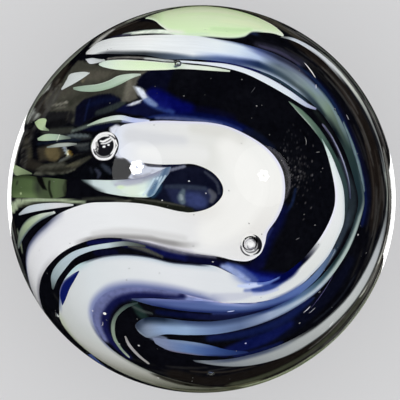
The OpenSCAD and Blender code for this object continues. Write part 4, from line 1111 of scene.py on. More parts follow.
HALO_FIELDS = [
    ((3, 3, 30), 2.2, 0.9, (-12, 27, 0.6), (-5, 27, 0.8), (2, 26.4, 0.8), (9, 24.4, 0.6)),
    ((1, 7, 56), 1.5, 1, (-17, 26.2, 0.2), (-10, 26.3, 0.5), (0, 25.2, 0.5), (8, 23.6, 0.4), (15, 20.6, 0.2)),
    ((28, 42, 96), 0.9, 0.95, (-16, 25.6, 0.1), (-9, 25.3, 0.3), (0, 24.2, 0.3), (7, 22.8, 0.3),
     (12, 21, 0.1)),
    ((82, 92, 134), 0.7, 0.9, (-14, 24.9, 0.1), (-8, 24.6, 0.2), (0, 23.7, 0.2), (6, 22.6, 0.1)),
    ((10, 16, 38), 1.4, 0.9, (14, 20.8, 0.2), (18, 18.8, 0.4), (22, 15.4, 0.2)),
    # A thin grey arc beside the hook: painted edge of the right lamp's reflection
    ((60, 58, 66), 0.55, 0.95, (20.5, 15.6, 0), (23.4, 13.8, 0.12), (25.4, 11, 0.15), (26.8, 7.5, 0.15),
     (27, 4, 0.15), (26.1, 1, 0.12), (24.9, -0.6, 0)),
    ((20, 35, 70), 0.7, 0.7, (26, -4, 0.1), (28, -1, 0.15), (29, 3, 0.1)),
    ((5, 8, 50), 2.8, 0.95, (25, -3, 0.1), (23.4, -7.6, 0.2), (20.8, -12, 0.2), (19, -16, 0.4),
     (17.6, -19.4, 0.4)),
    ((50, 60, 120), 0.8, 0.6, (21.4, -9, 0.05), (19.7, -12, 0.1), (18.8, -14.6, 0.05)),
    ((5, 6, 44), 1.6, 0.9, (18, -20, 0.6), (12, -21.4, 0.6), (4, -19.4, 0.4), (-4, -17.9, 0.2)),
    ((2, 6, 80), 2.6, 1, (12.6, -22.4, 0.3), (17, -23.8, 0.5), (22, -24.8, 0.5), (26, -25, 0.2)),
    ((24, 40, 124), 1.5, 0.95, (10.6, -21.4, 0.1), (15, -23.6, 0.5), (19, -25.2, 0.5), (22, -25.6, 0.2)),
    ((74, 92, 156), 1.5, 0.95, (8, -20.2, 0.3), (11.4, -21.4, 0.5), (14.4, -23.8, 0.5), (16.4, -25.4, 0.4)),
    ((150, 166, 212), 1.4, 1, (6.4, -20.4, 0), (8.4, -21.2, 0.3), (11.2, -23.2, 0.5), (14, -25.4, 0.4)),
]
HOLE_FIELDS = [
    ((10, 13, 32), 1.2, 1, (-14, 0.5), (-12.6, 6.4), (-8.1, 9), (-2, 9.8), (2.6, 8.8), (6, 5.4), (6.6, 1),
     (2, -3.6), (-6, -3.4)),
    ((34, 40, 70), 1.6, 0.9, (-11, 3.4), (2, 3.2), (4, 0.6), (1, -2.8), (-8, -2)),
    ((52, 62, 108), 2, 0.9, (-3.4, 0.4, 0.8), (-1.6, -0.6, 1.2), (0, -1, 0.6)),
    ((46, 54, 72), 1, 0.9, (-10.4, 3.7, 0.1), (-5, 3.6, 0.25), (1, 3.1, 0.1)),
    ((96, 112, 122), 1, 0.9, (-5.4, 2.4, 0.1), (-6, 0.6, 0.6), (-5.6, -0.8, 0.4)),
    ((150, 162, 168), 0.6, 0.8, (-6, 1, 0.15), (-5.9, 0, 0.2)),
    ((90, 92, 100), 0.8, 0.8, (2.4, 2.4, 0.2), (3.6, 1, 0.5), (3, -0.6, 0.3)),
    ((60, 64, 78), 0.5, 0.8, (1, 8, 0.1), (4.4, 5, 0.2), (5.2, 1.6, 0.1)),
    ((30, 60, 84), 1.2, 0.9, (-14.6, 1.2, 0.4), (-13.2, 3.4, 0.7), (-12.6, 5.4, 0.3)),
    ((120, 140, 165), 0.6, 0.8, (-15.4, 3, 0.1), (-13.8, 4.8, 0.2)),
    ((25, 28, 18), 1, 0.9, (-21, -0.3, 0.3), (-12, -1.4, 0.5), (-3, -3.4, 0.3)),
    ((66, 66, 60), 0.4, 0.9, (-20, 0.1, 0), (-12, -0.9, 0.1), (-5, -2.2, 0)),
    ((90, 90, 80), 0.5, 0.9, (-26.4, -0.9, 0.05), (-24, -0.8, 0.2), (-21.6, -0.5, 0.05)),
    ((56, 58, 50), 0.7, 0.8, (-38, -0.2, 0.1), (-30, 0.2, 0.2), (-24, -0.4, 0.1)),
]
GAP_FIELDS = [
    ((12, 15, 70), 1.4, 0.95, (-36, -14, 0.1), (-28, -13.4, 0.3), (-20, -14.2, 0.4), (-13, -16, 0.5),
     (-5, -17.6, 0.5)),
    ((96, 96, 112), 0.9, 0.95, (-24, -12, 0.1), (-16, -13.4, 0.2), (-9.7, -15.2, 0.3), (-3, -16.4, 0.3),
     (4, -17.4, 0.1)),
    ((206, 204, 212), 0.6, 0.9, (-24, -11.5, 0.05), (-16, -12.8, 0.1), (-9, -14.6, 0.15), (-2, -16, 0.1)),
    ((8, 9, 40), 1.2, 0.9, (-33.5, -17, 0.5), (-27, -16.8, 0.6)),
    ((75, 76, 68), 0.5, 0.95, (-22.3, -14.4, 0.1), (-17.5, -15.3, 0.35), (-11.9, -17.5, 0.1)),
    ((35, 44, 50), 2.6, 0.9, (46, 12, 0.6), (50, 4, 1), (51, -2, 1), (49.6, -8, 0.6)),
    ((45, 55, 66), 1.4, 0.9, (49.6, -5, 0.3), (48, -10, 0.6), (45.6, -15, 0.4)),
    ((36, 50, 66), 1.4, 0.9, (45, -16, 0.4), (43.6, -18.4, 0.3)),
    ((150, 162, 180), 1.1, 0.9, (44, -17.4, 0.1), (41.2, -21.2, 0.4), (38.2, -24.4, 0.3)),
    ((84, 102, 146), 1.4, 0.85, (39.6, -23.6, 0.1), (36.8, -26.2, 0.4), (33.4, -28.4, 0.3)),
    ((78, 94, 152), 1.2, 0.85, (35, -27.6, 0.2), (30, -30, 0.5), (24, -31.8, 0.2)),
    ((84, 100, 156), 1.4, 0.95, (31, -28.6, 0.5), (25, -31.4, 0.9), (16, -33, 0.9), (8, -32.6, 0.6)),
    ((104, 116, 160), 1.2, 0.95, (30, -27, 0.3), (25.4, -30.4, 0.5), (20, -32, 0.3)),
    ((214, 210, 222), 1, 1, (4, -31.2, 0.2), (8, -32, 0.5), (12.4, -31.6, 0.5), (17, -32.4, 0.2)),
    ((168, 168, 206), 1.1, 1, (-11, -28.4, 0.2), (-3, -29.8, 0.5), (2, -31.2, 0.5), (5, -32.2, 0.2)),
    ((130, 142, 192), 0.9, 1, (-13, -30, 0.2), (-7, -30.8, 0.4), (0, -32, 0.4), (6, -33.6, 0.3)),
    ((18, 34, 54), 1.3, 0.85, (38, -26.6, 0.3), (32, -31.4, 0.6), (24, -35, 0.5)),
    ((44, 56, 108), 1.3, 0.9, (4, -36.4, 0.2), (12, -36.6, 0.4), (20, -35.2, 0.2)),
    ((6, 12, 50), 1.2, 0.9, (-14, -36.2, 0.3), (-6, -37, 0.5), (2, -37.6, 0.3)),
    ((18, 20, 72), 2.4, 0.85, (-14, -29.5, 0.1), (-22, -30.4, 0.3), (-27, -32.4, 0.4), (-31, -36.4, 0.5),
     (-33.4, -42, 0.5), (-33.4, -48, 0.5), (-31, -53, 0.4), (-27, -58, 0.2)),
    ((14, 17, 62), 1.8, 0.95, (-6, -30.2, 0.2), (-12, -30, 0.4), (-17, -30, 0.5), (-24, -31.2, 0.6),
     (-29.5, -34, 0.6), (-32.4, -38.4, 0.4)),
    ((112, 120, 164), 1.2, 1, (-16, -27.8, 0.05), (-23, -28.5, 0.3), (-30.3, -30.6, 0.5), (-36.3, -35.6, 0.6),
     (-38.6, -39.8, 0.6), (-38.8, -44.2, 0.6), (-37.6, -50, 0.3)),
    ((104, 110, 154), 1.8, 0.95, (-8, -29, 0.1), (-15, -28.4, 0.1), (-22, -28.6, 0.2), (-28.6, -30.8, 0.5),
     (-33.2, -35, 0.7), (-36, -40, 0.7), (-36.4, -45, 0.5), (-35, -51, 0.3)),
    ((25, 44, 40), 1.4, 0.9, (-21.6, -33.6, 0.4), (-20, -36.5, 0.9), (-18, -39.6, 0.5)),
    ((70, 78, 76), 0.6, 0.8, (-22.4, -34.6, 0.05), (-19, -36.2, 0.2), (-16, -36.8, 0.05)),
    ((112, 124, 150), 1.2, 0.9, (-16.6, -46.8, 0.3), (-14, -46.4, 0.4), (-12, -46.8, 0.2)),
    ((12, 16, 50), 1.2, 0.9, (-4, -36.6, 0.2), (4, -37.8, 0.5), (14, -37.4, 0.5), (22, -35.6, 0.3)),
    ((12, 22, 66), 2.6, 0.95, (3, -46, 0.2), (16.4, -44.4, 0.5), (28.5, -40, 0.6), (36, -34, 0.3)),
    ((8, 12, 72), 1.1, 1, (2, 45.2, 0.2), (9, 45, 0.5), (15, 43.9, 0.5), (21, 42, 0.3)),
    ((40, 60, 75), 1, 0.9, (20, 42, 0.2), (26, 39.4, 0.3), (31, 36, 0.3), (36, 31, 0.2)),
    ((20, 26, 24), 1, 0.9, (36, 31.6, 0.2), (40, 26.6, 0.3), (44, 20, 0.3)),
    ((3, 4, 8), 0.55, 1, (-38, 52.8, 0.1), (-30, 51.2, 0.45), (-24, 50.1, 0.45), (-19.5, 48.9, 0.45),
     (-13, 46.9, 0.2)),
    ((135, 133, 128), 0.55, 0.9, (-34, 50.6, 0.05), (-28, 49.8, 0.15), (-22, 48.6, 0.15), (-15.6, 47, 0.05)),
    ((200, 208, 205), 0.55, 0.9, (-19, 47.9, 0.05), (-14, 46.6, 0.2), (-9.6, 45.8, 0.05)),
]
OUTER_FIELDS = [
    ((26, 21, 17), 2.6, 0.95, (36, 60, 1), (44, 55, 1.6), (52, 46, 2), (58, 36, 2.2), (63, 24, 2.4),
     (65, 12, 3), (66, 0, 3), (64, -9, 2)),
    ((34, 34, 46), 2, 0.9, (20, 54.6, 0.6), (27, 53.4, 1), (36, 49.4, 1.2)),
    ((60, 58, 82), 0.9, 0.85, (21, 54, 0.2), (28, 52.2, 0.4), (35, 48, 0.2)),
    ((24, 34, 60), 1.5, 0.9, (14.6, 60.6, 0.3), (17, 61.6, 0.6), (20, 60.8, 0.3)),
    ((6, 8, 30), 2.4, 0.9, (38, 44.6, 0.2), (44, 38, 0.8), (50, 28, 0.8), (55, 16, 0.8), (59, 3, 0.8),
     (58, -8, 0.5)),
    ((10, 20, 60), 1.4, 0.95, (37, 44.4, 0.1), (42.6, 39, 0.4), (48, 30.4, 0.4), (52.6, 20, 0.4),
     (56, 9, 0.4), (58, -1, 0.3), (56.4, -9, 0.1)),
    ((20, 34, 64), 0.8, 0.9, (34, 47.4, 0.1), (40.6, 41.4, 0.5), (46, 34, 0.5), (49.6, 27, 0.2)),
    ((108, 129, 132), 0.6, 0.95, (49.8, 26.6, 0.1), (53.4, 17, 0.4), (55.8, 9.2, 0.4), (57.2, 3, 0.1)),
    ((46, 40, 35), 0.7, 0.8, (40, 55, 0.1), (48, 47, 0.2), (55, 37, 0.2), (60, 27, 0.1)),
    ((48, 42, 37), 0.7, 0.8, (60, 21, 0.1), (62, 12, 0.2), (63, 2, 0.2), (62, -7, 0.1)),
    ((54, 48, 42), 0.6, 0.7, (66, 18, 0.1), (67.6, 8, 0.2), (67.6, -2, 0.1)),
    ((5, 7, 24), 3, 0.95, (52, -22, 0.6), (46, -31, 1.4), (38, -38.6, 1.6), (30, -44.6, 1.8), (20, -49.6, 2)),
    ((9, 17, 70), 2.4, 0.95, (30, -43, 0.4), (23, -47, 1.4), (15, -50, 1.6), (8, -53, 1)),
    ((12, 20, 64), 1.4, 0.9, (28, -51, 0.2), (20, -53.4, 0.4), (12, -55, 0.3)),
    ((40, 50, 88), 0.6, 0.8, (38, -33.6, 0), (31, -38.4, 0.15), (22, -42.6, 0.15), (12, -45, 0)),
    ((28, 32, 40), 0.7, 0.7, (56, -28, 0.1), (49, -37, 0.2), (40, -44, 0.1)),
]
RIM_FIELDS = [
    ((164, 178, 148), 0.8, 1, (-81, -4.6, 0.6), (-78, -3.8, 1.8), (-72, -1.9, 1.4), (-66, -0.9, 0.8),
     (-58, -0.2, 0.4), (-50, -0.3, 0.25), (-43, -0.7, 0.1), (-37, -1.1, 0)),
    ((56, 58, 44), 0.6, 0.9, (-72, -2.2, 0.1), (-60, -1.9, 0.3), (-48, -1.8, 0.2)),
    ((24, 21, 19), 5, 0.9, (74, 24, 1), (77, 8, 1.6), (77, -8, 1.6), (74, -24, 1.6), (67, -38, 1.6),
     (57, -51, 1.6), (44, -63, 1.6), (30, -72, 1.4), (14, -78, 1.2), (-4, -80, 1)),
    ((142, 142, 136), 1.4, 0.9, (74.6, 20, 0.3), (76.2, 10, 0.7), (77.2, 0, 0.7), (77.4, -10, 0.6),
     (76, -20, 0.3)),
    ((94, 89, 80), 1.4, 0.85, (75.6, -18, 0.3), (73.4, -26, 0.7), (69, -35, 0.5), (63, -45, 0.2)),
    ((56, 52, 46), 1, 0.8, (70, -25, 0.2), (64, -37, 0.4), (55, -48, 0.3), (45, -57, 0.2)),
    ((40, 36, 31), 1, 0.8, (58, -42, 0.2), (47, -53, 0.4), (34, -62, 0.4), (20, -67.4, 0.2)),
    ((20, 16, 12), 3, 0.9, (40, -58, 2), (26, -66, 3), (12, -70, 3), (0, -70, 2), (-10, -66, 2)),
    ((60, 55, 46), 0.8, 0.8, (38, -66, 0.2), (24, -72.6, 0.3), (10, -75.6, 0.2)),
    ((52, 46, 38), 0.7, 0.7, (20, -62, 0.1), (8, -64, 0.2), (-4, -63, 0.1)),
    ((105, 108, 80), 2, 0.85, (24, -76, 0.4), (14, -78.8, 0.8), (2, -80.4, 1), (-12, -80, 0.9),
     (-25, -76.6, 0.4)),
    ((62, 66, 50), 2, 0.9, (67.6, -34.6, 0.3), (58, -49, 1), (43.6, -62.4, 1.2), (26, -71.4, 1.2),
     (13, -74.8, 0.8)),
    ((184, 184, 172), 1, 1, (81, -20, 0.3), (78, -28.4, 0.6), (75.4, -35, 0.5)),
    ((160, 166, 152), 1.2, 1, (76, -34, 0.4), (71.9, -41.5, 1), (63.6, -53.4, 1.1), (53.4, -63.6, 1.1),
     (50, -66.4, 0.9)),
    ((150, 158, 128), 1.2, 1, (54, -63, 0.8), (41.5, -71.9, 1.1), (28.4, -78, 1.1), (14.4, -81.7, 1)),
    ((112, 114, 94), 1.2, 1, (16, -81.4, 0.6), (4, -82.8, 1), (-8, -82.6, 0.6)),
    ((192, 192, 182), 0.8, 1, (75.6, -15, 0.2), (72.9, -22.9, 0.5), (68.7, -33, 0.5), (63.6, -38.5, 0.2)),
    ((100, 108, 98), 1, 0.9, (76, 34, 0.2), (66, 50, 0.5), (54, 63, 0.5), (42, 72, 0.2)),
    ((136, 144, 132), 0.8, 0.9, (68, 38, 0.1), (62, 47, 0.4), (55, 55.4, 0.4), (48, 61.4, 0.1)),
    ((150, 150, 145), 1.8, 0.9, (-83, -5, 0.4), (-82.2, -10, 0.8), (-80.4, -16, 0.5)),
    ((122, 126, 121), 1.8, 0.9, (-81, -14, 0.4), (-79.4, -20, 0.8), (-77, -26, 0.5)),
    ((46, 43, 40), 1.2, 0.9, (-78, -8, 0.3), (-76.4, -14, 0.6), (-74.4, -18, 0.3)),
    ((120, 130, 110), 1.1, 0.9, (-73.6, -13, 0.2), (-72.2, -17, 0.5), (-72, -21, 0.2)),
    ((60, 62, 60), 2.4, 0.9, (-77, -26, 0.6), (-76, -32, 1), (-74, -40, 0.8), (-70, -48, 0.4)),
    ((110, 112, 108), 0.9, 0.85, (-80.6, -26, 0.2), (-77, -38, 0.3), (-71, -49, 0.3), (-62, -60, 0.2)),
]
BACK_FIELDS = [
    ((30, 27, 22), 8, 0.9, (-70, 30, 4), (-50, 50, 8), (-24, 62, 8), (6, 66, 6)),
    ((52, 48, 40), 2, 0.8, (-66, 38, 0.4), (-46, 56, 1), (-22, 68, 1), (4, 72, 0.5)),
    ((70, 68, 56), 1.4, 0.7, (-58, 28, 0.2), (-44, 44, 0.6), (-24, 56, 0.4)),
    ((8, 12, 62), 3, 0.95, (64, -50, 0.5), (46, -43, 1), (34, -35, 1), (20, -28, 1), (4, -21, 1),
     (-12, -12, 0.8)),
    ((26, 38, 120), 1.4, 0.9, (58, -49, 0.2), (44, -42, 0.5), (32, -34, 0.5), (18, -27, 0.4), (2, -20, 0.2)),
    ((10, 16, 74), 2.4, 0.9, (-56, -36, 0.5), (-44, -41, 1), (-32, -42, 1), (-18, -44, 1), (-4, -50, 1),
     (12, -56, 0.6)),
    ((90, 110, 160), 1, 0.8, (-50, -24, 0.1), (-36, -23.6, 0.3), (-22, -27, 0.2), (-8, -33, 0.1)),
    ((26, 42, 34), 3, 0.85, (66, 0, 0.6), (54, 8, 1.2), (40, 18, 1.4), (24, 28, 1.4), (10, 40, 1)),
    ((84, 98, 66), 1, 0.8, (60, 6, 0.1), (46, 15, 0.4), (30, 24, 0.4), (14, 34, 0.2)),
    ((36, 30, 24), 3, 0.8, (30, 60, 1), (46, 48, 1.6), (56, 32, 1.4), (60, 16, 1)),
    ((20, 17, 15), 5, 0.9, (-70, -12, 2), (-62, -36, 3), (-44, -58, 3), (-16, -70, 3), (16, -72, 2)),
    ((60, 54, 44), 1, 0.7, (-66, -24, 0.2), (-54, -46, 0.5), (-34, -62, 0.5), (-8, -70, 0.2)),
]


# Flecks in the dark glass beside the long band
FLECKS = 230
FAINT_FLECKS = 40


def paint_face(brush):
    """What lies behind the ribbons: black glass, cobalt where light gets into it, smoky in the hollow."""
    draw = random.Random(16)
    brush.drawn(draw, 46, (70, 84), (-70, 30), (18, 70))
    brush.drawn(draw, 40, (62, 84), (-150, -70), (14, 52))
    brush.drawn(draw, 30, (60, 74), (-30, 50), (22, 50), 0.3)
    brush.pulls(RIM_FIELDS)
    brush.pulls(OUTER_FIELDS)
    brush.drawn(draw, 44, (64, 80), (-46, 34), (26, 84), 0.25)
    brush.drawn(draw, 26, (77, 87), (10, 60), (60, 150), 0.3)
    brush.drawn(draw, 30, (72, 84), (-64, -16), (50, 110), 0.3)
    brush.pulls(GAP_FIELDS)
    brush.pulls(HALO_FIELDS)
    for count in range(FLECKS):
        spread = 0.6 if count % 3 == 0 else 1.1
        place = (30 + 3 * spread * draw.gauss(0, 1), 8 + 4 * spread * draw.gauss(0, 1))
        level = draw.uniform(26, 110)
        brush.fleck(draw, place, (level, level * 0.97, level))
    for _ in range(FAINT_FLECKS):
        brush.fleck(draw, (28 + draw.gauss(0, 3), 18 + draw.gauss(0, 3)), (52, 52, 56))
    brush.pulls(HOLE_FIELDS)
    brush.pulls(MOUTH_FIELDS)
    brush.pulls(WINDOW_FIELDS)
    brush.drawn(draw, 30, (66, 82), (138, 168), (24, 84), 0.3)
    brush.pulls(NOTCH_FIELDS)


def paint_back(brush):
    """What the heart shows from behind: brown and cobalt pulls in black glass."""
    draw = random.Random(8)
    brush.drawn(draw, 60, (40, 90), (0, 360), (14, 48))
    brush.pulls(BACK_FIELDS)


finished(dark_heart(), dark_glass(), "dark_glass", "dark_heart")


def clear_ball():
    """The clear ball with its bubbles, whose walls face into their own air."""
    pieces = [added("clear_ball", bpy.ops.mesh.primitive_uv_sphere_add,
                    segments=400, ring_count=200, radius=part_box("clear_glass")[1][0])]
    for u, v, wide in BUBBLES:
        r = BALL_R - BUBBLE_COVER - wide / 2
        pieces.append(added("bubble", bpy.ops.mesh.primitive_uv_sphere_add, segments=64, ring_count=32,
                            radius=wide / 2 * MM, location=tuple(aim(u, v, r) * r * MM)))
        on_all(bpy.ops.mesh.flip_normals)
    return joined(pieces)


finished(clear_ball(), clear_ball_glass(), "clear_glass", "clear_glass")


def arc(far, start, end, half):
    """Rows of a pull round a middle, from one direction to another, in degrees."""
    return [(far * math.cos(math.radians(start + (end - start) * share)),
             far * math.sin(math.radians(start + (end - start) * share)),
             half * (0.3 if share in (0, 1) else 1)) for share in np.linspace(0, 1, 7)]


def bubble_reflection(name, place, depth, reflection_r, lift, ground, pulls):
    """A shallow dome with a bubble's painted reflections and shade, on its own chart ten steps to its edge.
    """
    u, v = place
    r = BALL_R - depth
    a = math.radians(math.hypot(u, v) * 90 / RIM_STEPS)
    lean, turn = a - math.asin(math.sin(a) / GLASS_INDEX), math.atan2(v, u)
    axis = np.array([math.sin(lean) * math.cos(turn), math.sin(lean) * math.sin(turn), math.cos(lean)])
    east = unit(np.array([1.0, 0, 0]) - axis * axis[0])
    north = np.cross(axis, east)

    piece = added(name, bpy.ops.mesh.primitive_grid_add, x_subdivisions=150, y_subdivisions=50, size=1)
    flat = points_of(piece)
    share = flat[:, 1] + 0.5
    round_it = (flat[:, 0] + 0.5) * 2 * math.pi
    x, y = share * np.cos(round_it), share * np.sin(round_it)
    rise = lift + REFLECTION_RISE * np.sqrt(np.maximum(1 - share**2, 0)) * reflection_r
    dome = (x[:, None] * east + y[:, None] * north) * reflection_r + rise[:, None] * axis
    place_points(piece, (aim(u, v, r) * r + dome) * MM)
    brush = Paint(x * REFLECTION_STEPS, y * REFLECTION_STEPS, ground)
    brush.pulls(pulls)
    # All of the dome gets as much light as the place where it lies
    brush.steps[:] = math.hypot(u, v)
    set_tint(piece, brush)
    only(piece)
    on_all(bpy.ops.mesh.remove_doubles, threshold=WELD)
    return without_shade(thickened(piece, REFLECTION_T, 1))


REFLECTION_STEPS = 10
REFLECTION_T = 0.006
REFLECTION_RISE = 0.6
# Points closer together than this, in metres, become one
WELD = 1e-8
REFLECTED_WHITE = (255, 255, 255)
# Painted reflections and shade of two bubbles: bright rings and lamp glints, and dark arcs
# Name, place, depth of its middle, radius, lift, ground, then pulls on its own chart
BUBBLE_REFLECTIONS = [
    ("tip_reflection", (-30.4, 16.6), 0.63, 0.6, 0.22, (22, 22, 26), [
        (REFLECTED_WHITE, 0.6, 1, *arc(9.1, 0, 360, 0.5)),
        (REFLECTED_WHITE, 0.7, 1, (-3.4, 7.4, 0.3), (-6, 5.8, 0.9), (-7.2, 3, 1.3), (-7.6, 0, 1), (-7.4, -2.6, 0.7)),
        ((170, 170, 168), 0.7, 0.95, (-6, 2.6, 0.5), (-5.4, 0.4, 0.8), (-5.3, -2, 0.6), (-4.8, -3.4, 0.2)),
        ((235, 235, 235), 0.6, 1, *arc(7.4, 70, 140, 0.6)),
        ((240, 240, 240), 0.6, 1, (-3.2, 3.6, 0.3), (-1, 3.2, 0.45), (1.6, 4.2, 0.5), (3.8, 5.2, 0.3)),
        ((220, 220, 220), 0.6, 1, (-2.4, 1.8, 0.2), (0.6, 1.8, 0.3), (3.4, 2.8, 0.4), (5, 4, 0.3)),
        ((235, 235, 235), 0.6, 1, *arc(7.3, 60, -50, 0.4)),
        (REFLECTED_WHITE, 0.6, 1, (-0.8, -0.4, 0.4), (0, -0.4, 0.5)),
        (REFLECTED_WHITE, 0.6, 1, (2.6, 0.6, 0.3), (3.2, 0.6, 0.3)),
        ((150, 150, 150), 0.6, 0.9, *arc(7.4, 210, 300, 0.25)),
        ((40, 40, 44), 0.5, 0.9, (-7.8, -1.8, 0.1), (-7.2, -4, 0.25), (-6, -5.6, 0.1)),
        ((40, 40, 44), 0.5, 0.9, (5.2, 6.4, 0.1), (7.4, 4.4, 0.25)),
        ((30, 30, 34), 0.6, 0.9, (-5.2, -0.2, 0.15), (-4.8, -0.6, 0.15)),
        ((30, 30, 34), 0.6, 0.9, (-6.4, -1.8, 0.15), (-6, -1.6, 0.15)),
        ((30, 30, 34), 0.6, 0.9, (-4.6, -3.2, 0.2), (-4.2, -2.8, 0.2))]),
    ("bend_reflection", (14.9, -14), 0.46, 0.45, 0.04, (224, 224, 226), [
        ((26, 26, 30), 0.7, 1, *arc(8, 100, -70, 1.6)),
        ((70, 70, 74), 0.5, 0.95, *arc(9.1, 180, 262, 0.35)),
        ((120, 120, 124), 0.8, 0.9, (1.4, 5.6, 0.2), (4.4, 3.4, 0.6), (5.2, 0.6, 0.6), (3.6, -3.6, 0.3)),
        ((112, 112, 116), 0.7, 0.9, (-6.6, -3, 0.3), (-4.8, -5.2, 0.6), (-1.8, -6.4, 0.6), (2.6, -5.8, 0.6),
         (5, -3.8, 0.2)),
        ((120, 120, 126), 0.6, 0.9, (-3.4, -0.6, 0.1), (-2.6, -2.8, 0.4), (0, -3.6, 0.5), (2.4, -2.2, 0.4)),
        ((252, 252, 252), 1.2, 0.9, (-1.8, 1.6, 1), (0.4, 0.8, 1.6)),
        ((250, 250, 250), 0.6, 0.9, *arc(7.6, 190, 330, 0.35)),
        ((170, 170, 176), 0.8, 0.8, *arc(6.6, 70, 160, 0.3))]),
]
for name, place, depth, reflection_r, lift, ground, pulls in BUBBLE_REFLECTIONS:
    reflection_piece = bubble_reflection(name, place, depth, reflection_r, lift, ground, pulls)
    finished(reflection_piece, clouded("bubble_reflection_skin", 6000.0, 0.2, 0.6), "white_glass", "clear_glass")

# Some of these specks are painted glints and highlights
# Specks and fibres just under the surface: across, up, length and width in mm, lean in degrees, curve, shade
DUST_AND_GLINTS = [
    # The long fibre first here is a real fibre, painted white as its highlight
    (39.1, 46.4, 0.86, 0.05, -49, -0.06, (250, 250, 250)), (40, 39.3, 0.25, 0.03, 90, 0, (225, 225, 245)),
    (-49.3, 21.1, 0.35, 0.03, 59, 0.1, (235, 240, 225)), (52.3, 29.3, 0.25, 0.025, -50, 0, (200, 200, 205)),
    (38.3, -38.5, 0.35, 0.03, 25, 0, (170, 170, 180)), (33.2, 18.5, 0.35, 0.025, 100, 0.3, (140, 140, 140)),
    (37.5, 15.1, 0.2, 0.025, 15, 0, (130, 130, 130)), (16.5, 34.8, 0.4, 0.025, 60, 0, (75, 75, 80)),
    (13, 38.5, 0.06, 0.05, 0, 0, (130, 130, 130)), (17.3, 29.2, 0.06, 0.06, 0, 0, (150, 150, 150)),
    (15.5, 25, 0.06, 0.04, 30, 0, (90, 90, 90)), (21, 19.8, 0.05, 0.05, 0, 0, (90, 90, 90)),
    (-5.5, 32.2, 0.07, 0.05, 0, 0, (110, 110, 110)), (-14.8, 36, 0.05, 0.04, 0, 0, (90, 90, 90)),
    (-14, 33.5, 0.05, 0.03, 0, 0, (60, 60, 60)), (1, 32.5, 0.06, 0.03, 20, 0, (60, 60, 60)),
    (3, 38.5, 0.05, 0.04, 0, 0, (70, 70, 70)), (-32.8, -38.8, 0.17, 0.13, 30, 0, (255, 255, 255)),
    (-37.5, -38.5, 0.08, 0.06, 0, 0, (200, 200, 205)), (-34.5, -43.5, 0.3, 0.03, 80, 0.3, (175, 175, 180)),
    (-29.3, -51.7, 0.09, 0.06, 0, 0, (150, 150, 150)), (-21.8, -51, 0.1, 0.08, 0, 0, (200, 200, 200)),
    (15, -49, 0.08, 0.06, 0, 0, (190, 190, 230)), (9.3, -35.6, 0.3, 0.04, 4, 0, (190, 200, 240)),
    (36, -37.7, 0.4, 0.04, 30, 0.1, (200, 200, 210)), (40, -31.5, 0.12, 0.09, 0, 0, (90, 90, 96)),
    (35, -33.5, 0.25, 0.025, 50, 0, (130, 130, 140)), (34, -43, 0.08, 0.06, 0, 0, (150, 150, 150)),
    (49.5, -47.8, 0.3, 0.04, 40, 0, (230, 230, 230)), (54.7, -12.5, 0.08, 0.07, 0, 0, (200, 200, 200)),
    (60.5, -19.8, 0.09, 0.06, 0, 0, (90, 90, 90)), (30, -12.4, 0.2, 0.03, 20, 0, (110, 110, 114)),
    (41.4, -31.8, 1.7, 0.022, 45, 0.04, (90, 85, 130)), (46.4, 31.1, 0.07, 0.06, 0, 0, (14, 20, 30)),
    # The white speck at (46.7, 31.5) is a painted highlight on the dark specks beside it
    (47.6, 29.6, 0.08, 0.06, 0, 0, (14, 20, 30)), (46.7, 31.5, 0.03, 0.03, 0, 0, (230, 230, 235)),
    (32, -4.8, 0.07, 0.05, 0, 0, (90, 90, 90)), (36, -8.3, 0.08, 0.05, 0, 0, (110, 110, 110)),
    (-17, -70, 0.1, 0.08, 0, 0, (210, 210, 205)), (-3.7, 5.3, 0.08, 0.06, 0, 0, (210, 212, 216)),
    (1.3, 1.7, 0.06, 0.05, 0, 0, (190, 192, 200)), (-11.7, -0.4, 0.07, 0.05, 0, 0, (200, 200, 200)),
    (-49.8, -4.3, 0.06, 0.05, 0, 0, (250, 250, 250)), (3.4, -18.9, 0.08, 0.05, 0, 0, (180, 180, 184)),
    # These two specks are a painted glint and its tail
    (-44.3, 14.8, 0.1, 0.08, 0, 0, (225, 228, 214)), (-45, 16.6, 0.3, 0.025, 110, 0, (150, 150, 136)),
]
# How deep they lie and how thick they are at most, how many faint specks lie between them and how far out
SPECK_COVER = 0.045
SPECK_THICK = 0.05
FAINT_SPECKS = 90
SPECKS_TO = RIM_STEPS * 0.97


def dust_and_glints():
    """The specks and fibres caught in the ball's skin, with a few painted glints, as one piece."""
    draw = random.Random(5)
    rows = list(DUST_AND_GLINTS)
    for _ in range(FAINT_SPECKS):
        far = SPECKS_TO * math.sqrt(draw.random())
        turn = math.radians(draw.uniform(0, 360))
        level = draw.uniform(60, 150)
        rows.append((far * math.cos(turn), far * math.sin(turn), draw.uniform(0.03, 0.07),
                     draw.uniform(0.02, 0.04), draw.uniform(0, 180), 0, (level, level, level)))
    pieces = []
    for u, v, long, wide, lean, curve, shade in rows:
        piece = added("dust_and_glints", bpy.ops.mesh.primitive_ico_sphere_add, subdivisions=2, radius=1)
        shape = points_of(piece)
        up = aim(u, v, BALL_R)
        east = unit(np.array([1.0, 0, 0]) - up * up[0])
        north = np.cross(up, east)
        a = math.radians(lean)
        along, across = east * math.cos(a) + north * math.sin(a), north * math.cos(a) - east * math.sin(a)
        x = shape[:, 0] * long / 2
        y = shape[:, 1] * wide / 2 + curve * (shape[:, 0] ** 2 - 0.5) * long / 2
        z = shape[:, 2] * min(wide, SPECK_THICK) / 2
        rise = np.sqrt((BALL_R - SPECK_COVER) ** 2 - x**2 - y**2) + z
        place_points(piece, (x[:, None] * along + y[:, None] * across + rise[:, None] * up) * MM)
        count = len(shape)
        set_tint(piece, Paint(np.full(count, float(u)), np.full(count, float(v)), shade))
        pieces.append(piece)
    return without_shade(joined(pieces))


